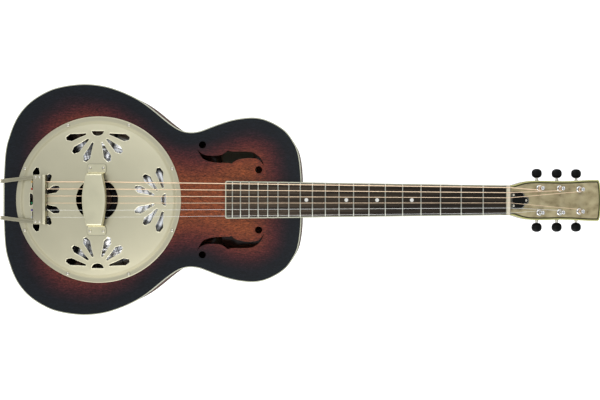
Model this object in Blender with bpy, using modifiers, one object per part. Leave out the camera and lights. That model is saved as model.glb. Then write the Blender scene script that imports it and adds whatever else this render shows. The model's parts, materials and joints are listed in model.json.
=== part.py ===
"""A round-neck resonator guitar with a wooden body and one spun cone, in metres.

The guitar lies on its flat back with its face up. The origin is on the outside of the back, straight
below the middle of the cone. +X runs along the neck to the headstock, +Y to the bass side, +Z up.
"""

import math

import bmesh
import bpy
from mathutils import Matrix, Vector

MM = 0.001
GAP = 0.3 * MM

# Body
BODY_DEPTH = 85 * MM
TOP_THICK = 3.2 * MM
BACK_THICK = 3.0 * MM
SIDE_THICK = 2.5 * MM
BINDING_WIDE = 1.5 * MM
BINDING_DEEP = 6.0 * MM
LINING_WIDE = 7.0 * MM
LINING_DEEP = 8.0 * MM
BLOCK_HALF_WIDE = 30 * MM
BLOCK_BOW = 0.7 * MM
NECK_BLOCK_LONG = 37 * MM
BRACE_HALF_WIDE = 4 * MM
BRACE_END_ROOM = 5 * MM
TOP_BRACE_DEEP = 12 * MM
BACK_BRACE_DEEP = 10 * MM
TOP_BRACE_X = 271 * MM
BACK_BRACE_WAIST_X = 180 * MM
BACK_BRACE_UPPER_X = 255 * MM
TENON_HALF = 10 * MM
TENON_LOW = 20 * MM
TENON_HIGH = 70 * MM
TENON_END_X = 296 * MM
TAIL_X = -151.0 * MM
NECK_END_X = 318.7 * MM
STRAP_BUTTON_Z = 27 * MM
STRAP_SHANK = 2.2 * MM
STRAP_SHANK_LONG = 15 * MM
# Half widths along the body, from the tail to the neck end (x, y).
HALF_OUTLINE_MM = (
    (-151.0, 0), (-149.1, 66.2), (-142.7, 98.2), (-129.9, 129.0), (-110.8, 152.0), (-85.4, 168.6),
    (-59.9, 177.6), (-22.0, 181.8), (16.1, 176.8), (54.0, 162.1), (79.3, 146.3), (104.5, 125.8),
    (125.0, 111.3), (142.3, 106.0), (160.0, 107.7), (180.0, 115.1), (210.0, 124.8), (242.6, 128.8),
    (267.7, 123.5), (292.6, 108.8), (306.6, 90.4), (314.4, 71.8), (318.5, 40.0), (318.7, 0),
)
OUTLINE_STEPS = 2

# One f-hole on the bass side: four curved edges that meet in points, and a round eye at each end.
F_EDGES_MM = (
    ((155.0, 79.9), (160.8, 73.6), (168.9, 70.0), (180.7, 68.9), (192.3, 70.0), (198.6, 73.1), (203.6, 77.2)),
    ((203.6, 77.2), (211.3, 75.5), (225.7, 75.5), (240.1, 74.6), (248.1, 71.0), (255.5, 64.5), (260.8, 52.5)),
    ((260.8, 52.5), (254.4, 61.1), (248.1, 64.4), (236.5, 65.3), (223.8, 63.8), (215.8, 61.1), (208.9, 56.1)),
    ((208.9, 56.1), (205.8, 57.5), (191.5, 58.0), (180.7, 58.8), (171.6, 61.1), (163.6, 65.5), (155.0, 79.9)),
)
F_EYES_MM = ((163.9, 86.0), (252.2, 47.0))
F_EYE_RADIUS = 5.6 * MM

# Resonator
WELL_RADIUS = 128 * MM
WELL_INSIDE = 122.8 * MM
LEDGE_INSIDE = 114 * MM
LEDGE_TOP = 60.5 * MM
LEDGE_THICK = 3.5 * MM
WELL_PORTS = 8
PORT_RADIUS = 15 * MM
PORT_Z = 31 * MM
CONE_RADIUS = 120.5 * MM
CONE_TOP = 86.0 * MM
CONE_THICK = 0.6 * MM
CONE_RIM_WIDE = 8 * MM
CONE_CROWN = 27 * MM
CONE_CROWN_STEP = 1.0 * MM
CONE_BORE = 2.4 * MM
BISCUIT_BORE = 2.1 * MM
BISCUIT_BORE_DEEP = 3.4 * MM
BISCUIT_RADIUS = 22 * MM
BISCUIT_THICK = 8.2 * MM
SADDLE_LENGTH = 62 * MM
SADDLE_THICK = 3.0 * MM
SADDLE_TOP = 99.5 * MM
SADDLE_SLOT_DEEP = 4.0 * MM

# Cover plate and hand rest
PLATE_RADIUS = 130.6 * MM
PLATE_THICK = 1.0 * MM
PLATE_HOLE = 33 * MM
FLANGE_INSIDE = 123 * MM
DOME_EDGE = 120 * MM
DOME_EDGE_RISE = 3.0 * MM
DOME_RISE = 9.5 * MM
PLATE_STEPS = 48
COVER_SCREWS = 8
COVER_SCREW_CIRCLE = 126.2 * MM
SCREW_RADIUS = 1.4 * MM
SCREW_HOLE = SCREW_RADIUS + GAP
SCREW_HEAD_RADIUS = 2.8 * MM
SCREW_HEAD_HIGH = 1.6 * MM
PETAL_FOCUS = 107 * MM
PETAL_ANGLES = (13, 41, 68)
PETAL_START = 19 * MM
PETAL_WIDEST = 44.5 * MM
PETAL_END = 51 * MM
PETAL_HALF_WIDE = 5.65 * MM
PETAL_HALF_START = 1.2 * MM
MOON_RADIUS = 9.6 * MM
MOON_DEEP = 7.7 * MM
MOON_FLAT = -0.5 * MM
REST_TOP = 115 * MM
REST_HALF = 40.5 * MM
REST_FOOT = 55 * MM
REST_HALF_WIDE = 12.5 * MM
REST_MIDDLE_HALF_WIDE = 18.5 * MM
REST_FOOT_HALF_WIDE = 14.4 * MM
REST_THICK = 1.2 * MM
REST_FLANGE = 7 * MM
REST_SPLAY = 0.6 * MM
REST_SAG = 0.2 * MM

# Tailpiece
HINGE_X = -157.0 * MM
HINGE_Z = 58 * MM
PIN_RADIUS = 1.5 * MM
KNUCKLE_RADIUS = 4.0 * MM
EYE_RADIUS = 3.4 * MM
EYE_WIDE = 6.6 * MM
CHANNEL_HALF = 38.5 * MM
STRAP_WIDE = 6 * MM
STRAP_THICK = 2 * MM
STRAP_Y_TAIL = 29 * MM
STRAP_Y_CHANNEL = 35 * MM
CHANNEL_BACK_X = -99.5 * MM
CHANNEL_FRONT_X = -78.5 * MM
CHANNEL_TOP = 99.3 * MM
CHANNEL_BACK_LOW = 91.4 * MM
CHANNEL_FRONT_LOW = 94.0 * MM
CHANNEL_THICK = 1.5 * MM
NOTCH_HALF = 1.6 * MM
NOTCH_ROOM = 2.0 * MM
# The middle of each strap from the channel to the hinge (x, z).
STRAP_LINE_MM = (
    (-97.0, 94.0), (-110.0, 92.2), (-124.0, 91.0), (-138.0, 90.0), (-149.0, 89.4), (-153.6, 87.4),
    (-156.2, 83.0), (-157.3, 76.0), (-157.6, 60.0),
)
BRACKET_HALF = 36 * MM
BRACKET_THICK = 2 * MM
BRACKET_BELOW = 22 * MM
BRACKET_ABOVE = 8 * MM
BORE_HALF = 50 * MM

# Neck
SCALE_LENGTH = 635 * MM
FRETS = 19
BOARD_END_X = 200.5 * MM
BOARD_HALF_END = 29.35 * MM
BOARD_HALF_NUT = 23.3 * MM
BOARD_LOW = BODY_DEPTH + GAP
BOARD_TOP = 91.8 * MM
BOARD_BINDING = 1.8 * MM
FRET_WIDE = 2.2 * MM
FRET_HIGH = 1.1 * MM
NUT_LENGTH = 5.8 * MM
NUT_TOP = 93.9 * MM
HEAD_ANGLE = math.radians(14)
HEAD_THICK = 15 * MM
HEAD_ORIGIN = Vector((641.9 * MM, 0, 88.5 * MM))
OVERLAY_THICK = 1.5 * MM
HEAD_BINDING = 2.3 * MM
# Half outline of the headstock in its own plane, from the nut to the tip.
HEAD_HALF_MM = (
    (0.0, 23.3), (5.0, 23.7), (12.0, 25.9), (19.7, 28.1), (29.0, 29.8), (38.9, 30.5), (59.6, 30.6),
    (83.5, 30.2), (107.3, 30.8), (131.2, 32.2), (149.5, 32.4),
)
HEAD_TIP_MM = ((151.8, 25.5), (153.2, 12.5), (153.8, 0))
# Half sections of the neck from its heel to the nut (x, half width, depth below the board).
NECK_SECTIONS_MM = (
    (319.2, 27.6, 79.0), (323.2, 27.4, 74.0), (329.2, 27.1, 61.0), (337.2, 26.9, 46.0), (347.2, 26.7, 32.0),
    (361.2, 26.5, 22.0), (381.2, 26.2, 18.0), (480.0, 24.6, 16.6), (600.0, 23.3, 15.4), (634.0, 22.8, 15.0),
    (646.0, 22.6, 12.5),
)
NECK_SECTION_STEPS = 11
BOARD_CORNER = 3.0 * MM
OVERLAY_START = 0.4 * MM
POCKET_START = 3 * MM
POCKET_END = 24 * MM
POCKET_HALF = 4.5 * MM
ROD_HALF = (3 * MM, 4 * MM)
ROD_START = 331 * MM
ROD_END = 640.5 * MM
CHANNEL_ENDS = (328 * MM, 655 * MM)
NUT_POCKET_ENDS = (641 * MM, 664 * MM)
NUT_POCKET_TOP = 95 * MM
ROD_NUT_RADIUS = 3.2 * MM
ROD_NUT_LONG = 9.5 * MM
# Half outline of the truss rod cover in the headstock's plane.
ROD_COVER_MM = (
    (1.5, 12.0), (5.5, 12.3), (13.0, 11.0), (19.0, 9.6), (21.5, 7.4), (21.0, 5.4), (24.0, 4.3), (27.0, 3.0),
    (28.5, 0.0),
)
ROD_COVER_THICK = 1.4 * MM
ROD_Z = 79 * MM

# Strings, bass to treble
STRING_RADII_MM = (0.70, 0.55, 0.45, 0.33, 0.22, 0.17)
STRING_SPACING_SADDLE = 11.06 * MM
STRING_SPACING_NUT = 7.85 * MM
BALL_X = -102.5 * MM
BALL_RADIUS = 2.0 * MM
BALL_HALF_WIDE = 1.6 * MM
WOUND_STRINGS = 4
STRING_TAIL_SLOPE = 0.063

# Tuners: posts in the headstock's plane, (along, across), nearest first
POSTS_MM = ((48.1, 18.9), (82.4, 18.6), (115.8, 17.3))
WORM_AHEAD = 4.6 * MM
WORM_RADIUS = 1.2 * MM
GEAR_RADIUS = 3.1 * MM
GEAR_TOP = -16.8 * MM
GEAR_LOW = -20.2 * MM
POST_TOP = 13 * MM
POST_RADIUS = 2.9 * MM
POST_WAIST = 2.5 * MM
POST_HEAD = 3.1 * MM
POST_HOLE = POST_RADIUS + 0.4 * MM
STRING_HEIGHT_AT_POST = 6.5 * MM
BUTTON_MIDDLE = 42.4 * MM
BUTTON_HALF = (8.8 * MM, 7.6 * MM, 4.3 * MM)
SHAFT_INSIDE = 7.2 * MM
TUNER_PLATE_THICK = 1.2 * MM
TUNER_PLATE_Y = (11 * MM, 27 * MM)
TUNER_PLATE_PAST = (10 * MM, 14 * MM)
EAR_SHIFT = 5.6 * MM
EAR_HALF = (3 * MM, 1 * MM, 3 * MM)

for old in list(bpy.data.objects):
    bpy.data.objects.remove(old, do_unlink=True)

parts = bpy.data.collections.new("resonator_guitar")
cutters = bpy.data.collections.new("cutters")
bpy.context.scene.collection.children.link(parts)
bpy.context.scene.collection.children.link(cutters)


# ---------------------------------------------------------------- materials


def finish(name, colour, roughness, metallic=0.0):
    material = bpy.data.materials.new(name)
    material.use_nodes = True
    shader = material.node_tree.nodes["Principled BSDF"]
    shader.inputs["Base Color"].default_value = (*colour, 1)
    shader.inputs["Roughness"].default_value = roughness
    shader.inputs["Metallic"].default_value = metallic
    material.diffuse_color = (*colour, 1)
    return material


SUNBURST = finish("sunburst_lacquer", (0.10, 0.03, 0.015), 0.2)
MAHOGANY = finish("mahogany", (0.09, 0.03, 0.015), 0.35)
SPRUCE = finish("spruce", (0.55, 0.38, 0.2), 0.6)
PLYWOOD = finish("plywood", (0.45, 0.3, 0.16), 0.6)
CREAM = finish("cream_binding", (0.8, 0.76, 0.58), 0.35)
NICKEL = finish("nickel", (0.55, 0.52, 0.42), 0.3, 1.0)
CHROME = finish("chrome", (0.75, 0.75, 0.75), 0.12, 1.0)
ALUMINIUM = finish("spun_aluminium", (0.8, 0.8, 0.82), 0.3, 1.0)
MAPLE = finish("maple", (0.6, 0.42, 0.22), 0.5)
ROSEWOOD = finish("rosewood", (0.045, 0.03, 0.022), 0.5)
BONE = finish("bone", (0.75, 0.7, 0.55), 0.4)
PEARLOID = finish("pearloid", (0.6, 0.52, 0.3), 0.3)
BLACK_PLASTIC = finish("black_plastic", (0.012, 0.012, 0.012), 0.3)
STEEL = finish("steel", (0.6, 0.6, 0.6), 0.3, 1.0)
BRONZE = finish("wound_bronze", (0.7, 0.5, 0.28), 0.35, 1.0)


# ---------------------------------------------------------------- shapes


def add(name, mesh, material, place=None, cutter=False):
    """An object in the parts, or a hidden wire guide among the cutters."""
    made = bpy.data.objects.new(name, mesh)
    (cutters if cutter else parts).objects.link(made)
    if material:
        mesh.materials.append(material)
    if cutter:
        made.hide_render = True
        made.display_type = "WIRE"
    if place is not None:
        made.matrix_world = place
    return made


def baked(made):
    """The same object with its evaluated shape as a plain mesh, its points welded and faces out."""
    graph = bpy.context.evaluated_depsgraph_get()
    mesh = bpy.data.meshes.new_from_object(made.evaluated_get(graph))
    shape = bmesh.new()
    shape.from_mesh(mesh)
    bmesh.ops.remove_doubles(shape, verts=shape.verts, dist=0.00001)
    bmesh.ops.dissolve_degenerate(shape, edges=shape.edges, dist=0.000005)
    bmesh.ops.recalc_face_normals(shape, faces=shape.faces)
    shape.to_mesh(mesh)
    shape.free()
    name, place, cutter = made.name, made.matrix_world.copy(), made.hide_render
    material = mesh.materials[0] if mesh.materials else None
    bpy.data.objects.remove(made, do_unlink=True)
    mesh.name = name
    mesh.materials.clear()
    return add(name, mesh, material, place, cutter)


def flat(name, loops, low, high, material, place=None, cutter=False):
    """A flat outline with holes, from low to high along the local Z, as a filled and extruded curve."""
    curve = bpy.data.curves.new(name, "CURVE")
    curve.dimensions = "2D"
    curve.fill_mode = "BOTH"
    curve.extrude = (high - low) / 2
    for loop in loops:
        spline = curve.splines.new("POLY")
        spline.points.add(len(loop) - 1)
        for point, (x, y) in zip(spline.points, loop):
            point.co = (x, y, 0, 1)
        spline.use_cyclic_u = True
    made = add(name, curve, material, cutter=cutter)
    lift = Matrix.Translation((0, 0, (low + high) / 2))
    made.matrix_world = lift if place is None else place @ lift
    bpy.context.view_layer.update()
    return baked(made)


def turned(name, profile, material, steps=24, place=None, cutter=False):
    """A profile of (radius, height) turned round the local Z. Its outer side runs from top to bottom."""
    closed_ring = min(radius for radius, _ in profile) > 0
    mesh = bpy.data.meshes.new(name)
    edges = [(i, i + 1) for i in range(len(profile) - 1)]
    if closed_ring:
        edges.append((len(profile) - 1, 0))
    mesh.from_pydata([(radius, 0, height) for radius, height in profile], edges, [])
    made = add(name, mesh, material, place, cutter)
    turn(made, steps)
    return made


def turn(made, steps):
    screw = made.modifiers.new("turn", "SCREW")
    screw.steps = steps
    screw.render_steps = steps
    screw.use_merge_vertices = True
    screw.merge_threshold = 0.00001
    screw.use_smooth_shade = True


def box(name, low, high, material=None, place=None, cutter=False):
    shape = bmesh.new()
    bmesh.ops.create_cube(shape, size=1)
    size = Vector(high) - Vector(low)
    middle = (Vector(high) + Vector(low)) / 2
    bmesh.ops.scale(shape, vec=size, verts=shape.verts)
    bmesh.ops.translate(shape, vec=middle, verts=shape.verts)
    mesh = bpy.data.meshes.new(name)
    shape.to_mesh(mesh)
    shape.free()
    return add(name, mesh, material, place, cutter)


def rod(name, radius, start, end, sides=16, material=None, place=None, cutter=True):
    """A round rod between two points."""
    start = Vector(start)
    along = Vector(end) - start
    shape = bmesh.new()
    bmesh.ops.create_cone(
        shape, cap_ends=True, segments=sides, radius1=radius, radius2=radius, depth=along.length
    )
    stand = Matrix.Translation(start + along / 2) @ along.to_track_quat("Z", "Y").to_matrix().to_4x4()
    bmesh.ops.transform(shape, matrix=stand, verts=shape.verts)
    mesh = bpy.data.meshes.new(name)
    shape.to_mesh(mesh)
    shape.free()
    return add(name, mesh, material, place, cutter)


def boolean(made, other, operation):
    step = made.modifiers.new(other.name, "BOOLEAN")
    step.operation = operation
    step.solver = "EXACT"
    step.object = other
    return made


def cut(made, *others):
    for other in others:
        boolean(made, other, "DIFFERENCE")
    return made


def join(made, *others):
    for other in others:
        boolean(made, other, "UNION")
    return made


def bevel(made, width, segments=2, angle=40):
    edge = made.modifiers.new("edge", "BEVEL")
    edge.width = width
    edge.segments = segments
    edge.limit_method = "ANGLE"
    edge.angle_limit = math.radians(angle)


def loft(name, sections, material, cutter=False):
    """A closed solid through rings of points, all with the same count."""
    count = len(sections[0])
    shape = bmesh.new()
    rings = [[shape.verts.new(point) for point in section] for section in sections]
    for before, after in zip(rings, rings[1:]):
        for i in range(count):
            j = (i + 1) % count
            shape.faces.new((before[i], before[j], after[j], after[i]))
    shape.faces.new(rings[0])
    shape.faces.new(rings[-1])
    bmesh.ops.recalc_face_normals(shape, faces=shape.faces)
    mesh = bpy.data.meshes.new(name)
    shape.to_mesh(mesh)
    shape.free()
    return add(name, mesh, material, cutter=cutter)


def merged(name, pieces):
    """Several cutters that don't touch, as one cutter."""
    shape = bmesh.new()
    for piece in pieces:
        moved = piece.data.copy()
        moved.transform(piece.matrix_world)
        shape.from_mesh(moved)
        bpy.data.objects.remove(piece, do_unlink=True)
    mesh = bpy.data.meshes.new(name)
    shape.to_mesh(mesh)
    shape.free()
    return add(name, mesh, None, cutter=True)


# ---------------------------------------------------------------- outlines


def spline_point(before, start, end, after, part):
    """A point between start and end on the smooth curve through four points."""
    return tuple(
        0.5
        * (
            2 * b
            + (c - a) * part
            + (2 * a - 5 * b + 4 * c - d) * part**2
            + (3 * b - a - 3 * c + d) * part**3
        )
        for a, b, c, d in zip(before, start, end, after)
    )


def smooth_loop(points, steps):
    count = len(points)
    return [
        spline_point(points[i - 1], points[i], points[(i + 1) % count], points[(i + 2) % count], k / steps)
        for i in range(count)
        for k in range(steps)
    ]


def smooth_run(points, steps):
    """A smooth open run through the points, without its last point."""
    padded = [points[0], *points, points[-1]]
    return [
        spline_point(*padded[i : i + 4], k / steps)
        for i in range(len(points) - 1)
        for k in range(steps)
    ]


def scaled(points):
    return [(x * MM, y * MM) for x, y in points]


def mirrored(points):
    return [(x, -y) for x, y in reversed(points)]


def inset(loop, distance):
    """A closed outline moved inwards by the distance, with its corners kept square to it."""
    count = len(loop)
    area = sum(
        loop[i][0] * loop[(i + 1) % count][1] - loop[(i + 1) % count][0] * loop[i][1] for i in range(count)
    )
    turn_in = 1 if area > 0 else -1
    moved = []
    for i in range(count):
        point = Vector(loop[i])
        one = (point - Vector(loop[i - 1])).normalized()
        two = (Vector(loop[(i + 1) % count]) - point).normalized()
        across = Vector((-one.y - two.y, one.x + two.x)).normalized() * turn_in
        reach = distance / max(0.5, across.dot(Vector((-one.y, one.x)) * turn_in))
        moved.append(tuple(point + across * reach))
    return moved


def circle(x, y, radius, sides):
    return [
        (x + radius * math.cos(math.tau * i / sides), y + radius * math.sin(math.tau * i / sides))
        for i in range(sides)
    ]


def body_outline():
    half = scaled(HALF_OUTLINE_MM)
    return smooth_loop(half + mirrored(half[1:-1]), OUTLINE_STEPS)


def half_width(x):
    """Half the body's width at x."""
    half = scaled(HALF_OUTLINE_MM)
    for (x0, y0), (x1, y1) in zip(half, half[1:]):
        if x0 <= x <= x1:
            return y0 + (y1 - y0) * (x - x0) / (x1 - x0)
    return 0.0


def f_hole():
    return [point for edge in F_EDGES_MM for point in smooth_run(scaled(edge), 1)]


def screw_places():
    """The eight cover screws, (x, y)."""
    turns = [math.tau * (i + 0.5) / COVER_SCREWS for i in range(COVER_SCREWS)]
    return [(COVER_SCREW_CIRCLE * math.cos(t), COVER_SCREW_CIRCLE * math.sin(t)) for t in turns]


# ---------------------------------------------------------------- body


def make_body():
    outline = body_outline()
    wood = inset(outline, BINDING_WIDE + GAP)
    holes = [circle(0, 0, WELL_INSIDE, 48)]
    for side in (1, -1):
        holes.append([(x, side * y) for x, y in f_hole()])
        holes.extend(circle(x * MM, side * y * MM, F_EYE_RADIUS, 12) for x, y in F_EYES_MM)
    holes.extend(circle(x, y, SCREW_HOLE, 8) for x, y in screw_places())
    flat("body_top", [wood, *holes], BODY_DEPTH - TOP_THICK, BODY_DEPTH, SUNBURST)
    flat("body_back", [wood], 0, BACK_THICK, MAHOGANY)

    trim = [outline, inset(outline, BINDING_WIDE)]
    flat("top_binding", trim, BODY_DEPTH - BINDING_DEEP, BODY_DEPTH, CREAM)
    flat("back_binding", trim, GAP, BINDING_DEEP, CREAM)

    walls = [outline, inset(outline, SIDE_THICK)]
    sides = flat("body_sides", walls, BINDING_DEEP + GAP, BODY_DEPTH - BINDING_DEEP - GAP, MAHOGANY)
    cut(sides, tenon("side_slot", GAP), strap_bore("side_bore"))

    strip = [inset(outline, SIDE_THICK + GAP), inset(outline, SIDE_THICK + GAP + LINING_WIDE)]
    under = BODY_DEPTH - TOP_THICK - GAP
    flat("top_lining", strip, under - LINING_DEEP, under, SPRUCE)
    over = BACK_THICK + GAP
    flat("back_lining", strip, over, over + LINING_DEEP, SPRUCE)
    make_blocks(over, under)
    make_braces(over, under)


def tenon(name, clearance):
    low = (TENON_END_X - clearance, -TENON_HALF - clearance, TENON_LOW - clearance)
    high = (NECK_END_X + 3 * MM, TENON_HALF + clearance, TENON_HIGH + clearance)
    return box(name, low, high, cutter=True)


def strap_bore(name):
    start = (TAIL_X - 4 * MM, 0, STRAP_BUTTON_Z)
    return rod(name, STRAP_SHANK + GAP, start, (TAIL_X + 18 * MM, 0, STRAP_BUTTON_Z), sides=12)


def block(name, inner_x, lining_x, outer_x, low, high):
    """A block that fills an end of the body, notched where the linings run past it."""
    notch = LINING_DEEP + GAP
    side_view = [
        (inner_x, low),
        (lining_x, low),
        (lining_x, low + notch),
        (outer_x, low + notch),
        (outer_x, high - notch),
        (lining_x, high - notch),
        (lining_x, high),
        (inner_x, high),
    ]
    stand = Matrix.Rotation(math.radians(90), 4, "X")
    return flat(name, [side_view], -BLOCK_HALF_WIDE, BLOCK_HALF_WIDE, SPRUCE, stand)


def make_blocks(low, high):
    deep = SIDE_THICK + GAP
    past_lining = deep + LINING_WIDE + GAP
    neck_block = block(
        "neck_block",
        NECK_END_X - NECK_BLOCK_LONG,
        NECK_END_X - past_lining - BLOCK_BOW,
        NECK_END_X - deep - BLOCK_BOW,
        low,
        high,
    )
    cut(neck_block, tenon("block_mortise", GAP))
    tail_block = block(
        "tail_block",
        -WELL_RADIUS - 2 * MM,
        TAIL_X + past_lining + BLOCK_BOW,
        TAIL_X + deep + BLOCK_BOW,
        low,
        high,
    )
    cut(tail_block, strap_bore("block_bore"))


def make_braces(low, high):
    wide = BRACE_HALF_WIDE
    clear = SIDE_THICK + LINING_WIDE + BRACE_END_ROOM
    for name, x, bottom, top in (
        ("top_brace", TOP_BRACE_X, high - TOP_BRACE_DEEP, high),
        ("back_brace_waist", BACK_BRACE_WAIST_X, low, low + BACK_BRACE_DEEP),
        ("back_brace_upper", BACK_BRACE_UPPER_X, low, low + BACK_BRACE_DEEP),
    ):
        reach = min(half_width(x - wide), half_width(x + wide)) - clear
        box(name, (x - wide, -reach, bottom), (x + wide, reach, top), SPRUCE)


# ---------------------------------------------------------------- resonator


def make_resonator():
    ring = [
        (WELL_RADIUS, BODY_DEPTH - TOP_THICK - GAP),
        (WELL_RADIUS, BACK_THICK + GAP),
        (WELL_INSIDE, BACK_THICK + GAP),
        (WELL_INSIDE, LEDGE_TOP - LEDGE_THICK),
        (LEDGE_INSIDE, LEDGE_TOP - LEDGE_THICK),
        (LEDGE_INSIDE, LEDGE_TOP),
        (WELL_INSIDE, LEDGE_TOP),
        (WELL_INSIDE, BODY_DEPTH - TOP_THICK - GAP),
    ]
    well = turned("sound_well", ring, PLYWOOD, steps=32)
    ports = []
    for i in range(WELL_PORTS):
        turn_to = math.tau * (i + 0.5) / WELL_PORTS
        out = Vector((math.cos(turn_to), math.sin(turn_to), 0))
        lift = Vector((0, 0, PORT_Z))
        inside = out * (LEDGE_INSIDE + MM) + lift
        outside = out * (WELL_RADIUS + 8 * MM) + lift
        ports.append(rod("port", PORT_RADIUS, inside, outside, sides=10))
    cut(well, merged("ports", ports))

    rim = LEDGE_TOP + GAP + CONE_THICK
    skirt = CONE_RADIUS - CONE_RIM_WIDE - CONE_CROWN
    profile = [(CONE_BORE, CONE_TOP), (CONE_CROWN - 3 * MM, CONE_TOP)]
    profile.append((CONE_CROWN, CONE_TOP - CONE_CROWN_STEP))
    for part in (1 / 3, 2 / 3, 1):
        profile.append((CONE_CROWN + skirt * part, CONE_TOP + (rim - CONE_TOP) * part))
    profile.append((CONE_RADIUS, rim))
    mesh = bpy.data.meshes.new("resonator_cone")
    mesh.from_pydata(
        [(radius, 0, height) for radius, height in profile], [(i, i + 1) for i in range(len(profile) - 1)], []
    )
    cone = add("resonator_cone", mesh, ALUMINIUM)
    turn(cone, 32)
    shell = cone.modifiers.new("sheet", "SOLIDIFY")
    shell.thickness = CONE_THICK
    shell.offset = -1

    low = CONE_TOP + GAP
    bore = BISCUIT_BORE
    bore_top = low + BISCUIT_BORE_DEEP
    biscuit_profile = [
        (0, low + BISCUIT_THICK),
        (BISCUIT_RADIUS, low + BISCUIT_THICK),
        (BISCUIT_RADIUS, low),
        (bore, low),
        (bore, bore_top),
        (0, bore_top),
    ]
    biscuit = turned("biscuit", biscuit_profile, MAPLE, steps=32)
    slot_low = low + BISCUIT_THICK - SADDLE_SLOT_DEEP
    half = SADDLE_THICK / 2 + GAP
    slot_half = BISCUIT_RADIUS + 8 * MM
    slot = box("slot", (-half, -slot_half, slot_low), (half, slot_half, SADDLE_TOP), cutter=True)
    cut(biscuit, slot)

    half_long = SADDLE_LENGTH / 2
    foot = slot_low + GAP
    ends = SADDLE_TOP - 2.2 * MM
    side_view = [
        (-half_long, foot),
        (half_long, foot),
        (half_long, ends),
        (half_long - 2 * MM, SADDLE_TOP - 0.6 * MM),
        (10 * MM, SADDLE_TOP),
        (-10 * MM, SADDLE_TOP),
        (-half_long + 2 * MM, SADDLE_TOP - 0.6 * MM),
        (-half_long, ends),
    ]
    across = Matrix(((0, 0, 1, 0), (1, 0, 0, 0), (0, 1, 0, 0), (0, 0, 0, 1)))
    flat("saddle", [side_view], -SADDLE_THICK / 2, SADDLE_THICK / 2, MAPLE, across)

    under = CONE_TOP - CONE_THICK - GAP
    screw_profile = [
        (0, bore_top - GAP),
        (bore - GAP, bore_top - GAP),
        (bore - GAP, under),
        (4 * MM, under),
        (3.2 * MM, under - 2 * MM),
        (0, under - 2.4 * MM),
    ]
    turned("biscuit_screw", screw_profile, STEEL, steps=12)


# ---------------------------------------------------------------- cover plate


def dome_height(radius):
    """Height of the cover plate's upper face above the top, from its middle hole to its step."""
    part = (radius - PLATE_HOLE) / (DOME_EDGE - PLATE_HOLE)
    return DOME_EDGE_RISE + (DOME_RISE - DOME_EDGE_RISE) * (1 - part * part)


def petal(angle):
    """One petal's outline about the focus. It points away from the focus at the angle."""
    half = [
        (PETAL_START, PETAL_HALF_START),
        (PETAL_START + 15 * MM, 0.55 * PETAL_HALF_WIDE),
        (PETAL_WIDEST, PETAL_HALF_WIDE),
        (PETAL_END - 2.5 * MM, 0.7 * PETAL_HALF_WIDE),
        (PETAL_END, PETAL_HALF_START),
    ]
    spin = Matrix.Rotation(angle, 2)
    return [tuple(spin @ Vector(point)) for point in half + mirrored(half)]


def half_moon():
    """The half-moon beside the focus, with its flat side away from the plate's middle."""
    steps = 7
    sweep = [math.pi * i / (steps - 1) for i in range(steps)]
    return [(MOON_DEEP * math.sin(t) + MOON_FLAT, -MOON_RADIUS * math.cos(t)) for t in sweep]


def make_cover():
    outer = BODY_DEPTH + GAP + PLATE_THICK
    radii = [PLATE_HOLE + (DOME_EDGE - PLATE_HOLE) * i / 3 for i in range(4)]
    profile = [(radius, BODY_DEPTH + dome_height(radius)) for radius in radii]
    profile += [(FLANGE_INSIDE - 1.5 * MM, outer + 0.7 * MM), (FLANGE_INSIDE, outer), (PLATE_RADIUS, outer)]
    mesh = bpy.data.meshes.new("cover_plate")
    mesh.from_pydata(
        [(radius, 0, height) for radius, height in profile], [(i, i + 1) for i in range(len(profile) - 1)], []
    )
    plate = add("cover_plate", mesh, NICKEL)
    turn(plate, PLATE_STEPS)
    sheet = plate.modifiers.new("sheet", "SOLIDIFY")
    sheet.thickness = PLATE_THICK
    sheet.offset = -1

    low, high = BODY_DEPTH - 4 * MM, BODY_DEPTH + 14 * MM
    cutouts = []
    for quarter in range(4):
        turn_to = Matrix.Rotation(math.radians(90 * quarter), 4, "Z")
        # The focus is on +X of the turned frame, and the petals point back to the middle.
        focus = turn_to @ Matrix.Translation((PETAL_FOCUS, 0, 0)) @ Matrix.Rotation(math.pi, 4, "Z")
        for side in (1, -1):
            for angle in PETAL_ANGLES:
                away = side * math.radians(90 - angle)
                cutouts.append(flat("petal", [petal(away)], low, high, None, focus, cutter=True))
        cutouts.append(flat("moon", [half_moon()], low, high, None, focus, cutter=True))
    for x, y in screw_places():
        cutouts.append(rod("hole", SCREW_HOLE, (x, y, low), (x, y, high), sides=8))
    cut(plate, merged("cutouts", cutouts))

    head_low = outer + GAP
    for number, (x, y) in enumerate(screw_places(), 1):
        screw_profile = [
            (0, head_low + SCREW_HEAD_HIGH),
            (0.55 * SCREW_HEAD_RADIUS, head_low + 0.8 * SCREW_HEAD_HIGH),
            (SCREW_HEAD_RADIUS, head_low + 0.3 * SCREW_HEAD_HIGH),
            (SCREW_HEAD_RADIUS, head_low),
            (SCREW_RADIUS, head_low),
            (SCREW_RADIUS, BODY_DEPTH - TOP_THICK + GAP),
            (0, BODY_DEPTH - TOP_THICK + GAP),
        ]
        place = Matrix.Translation((x, y, 0))
        turned(f"cover_screw_{number}", screw_profile, NICKEL, steps=10, place=place)


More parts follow.
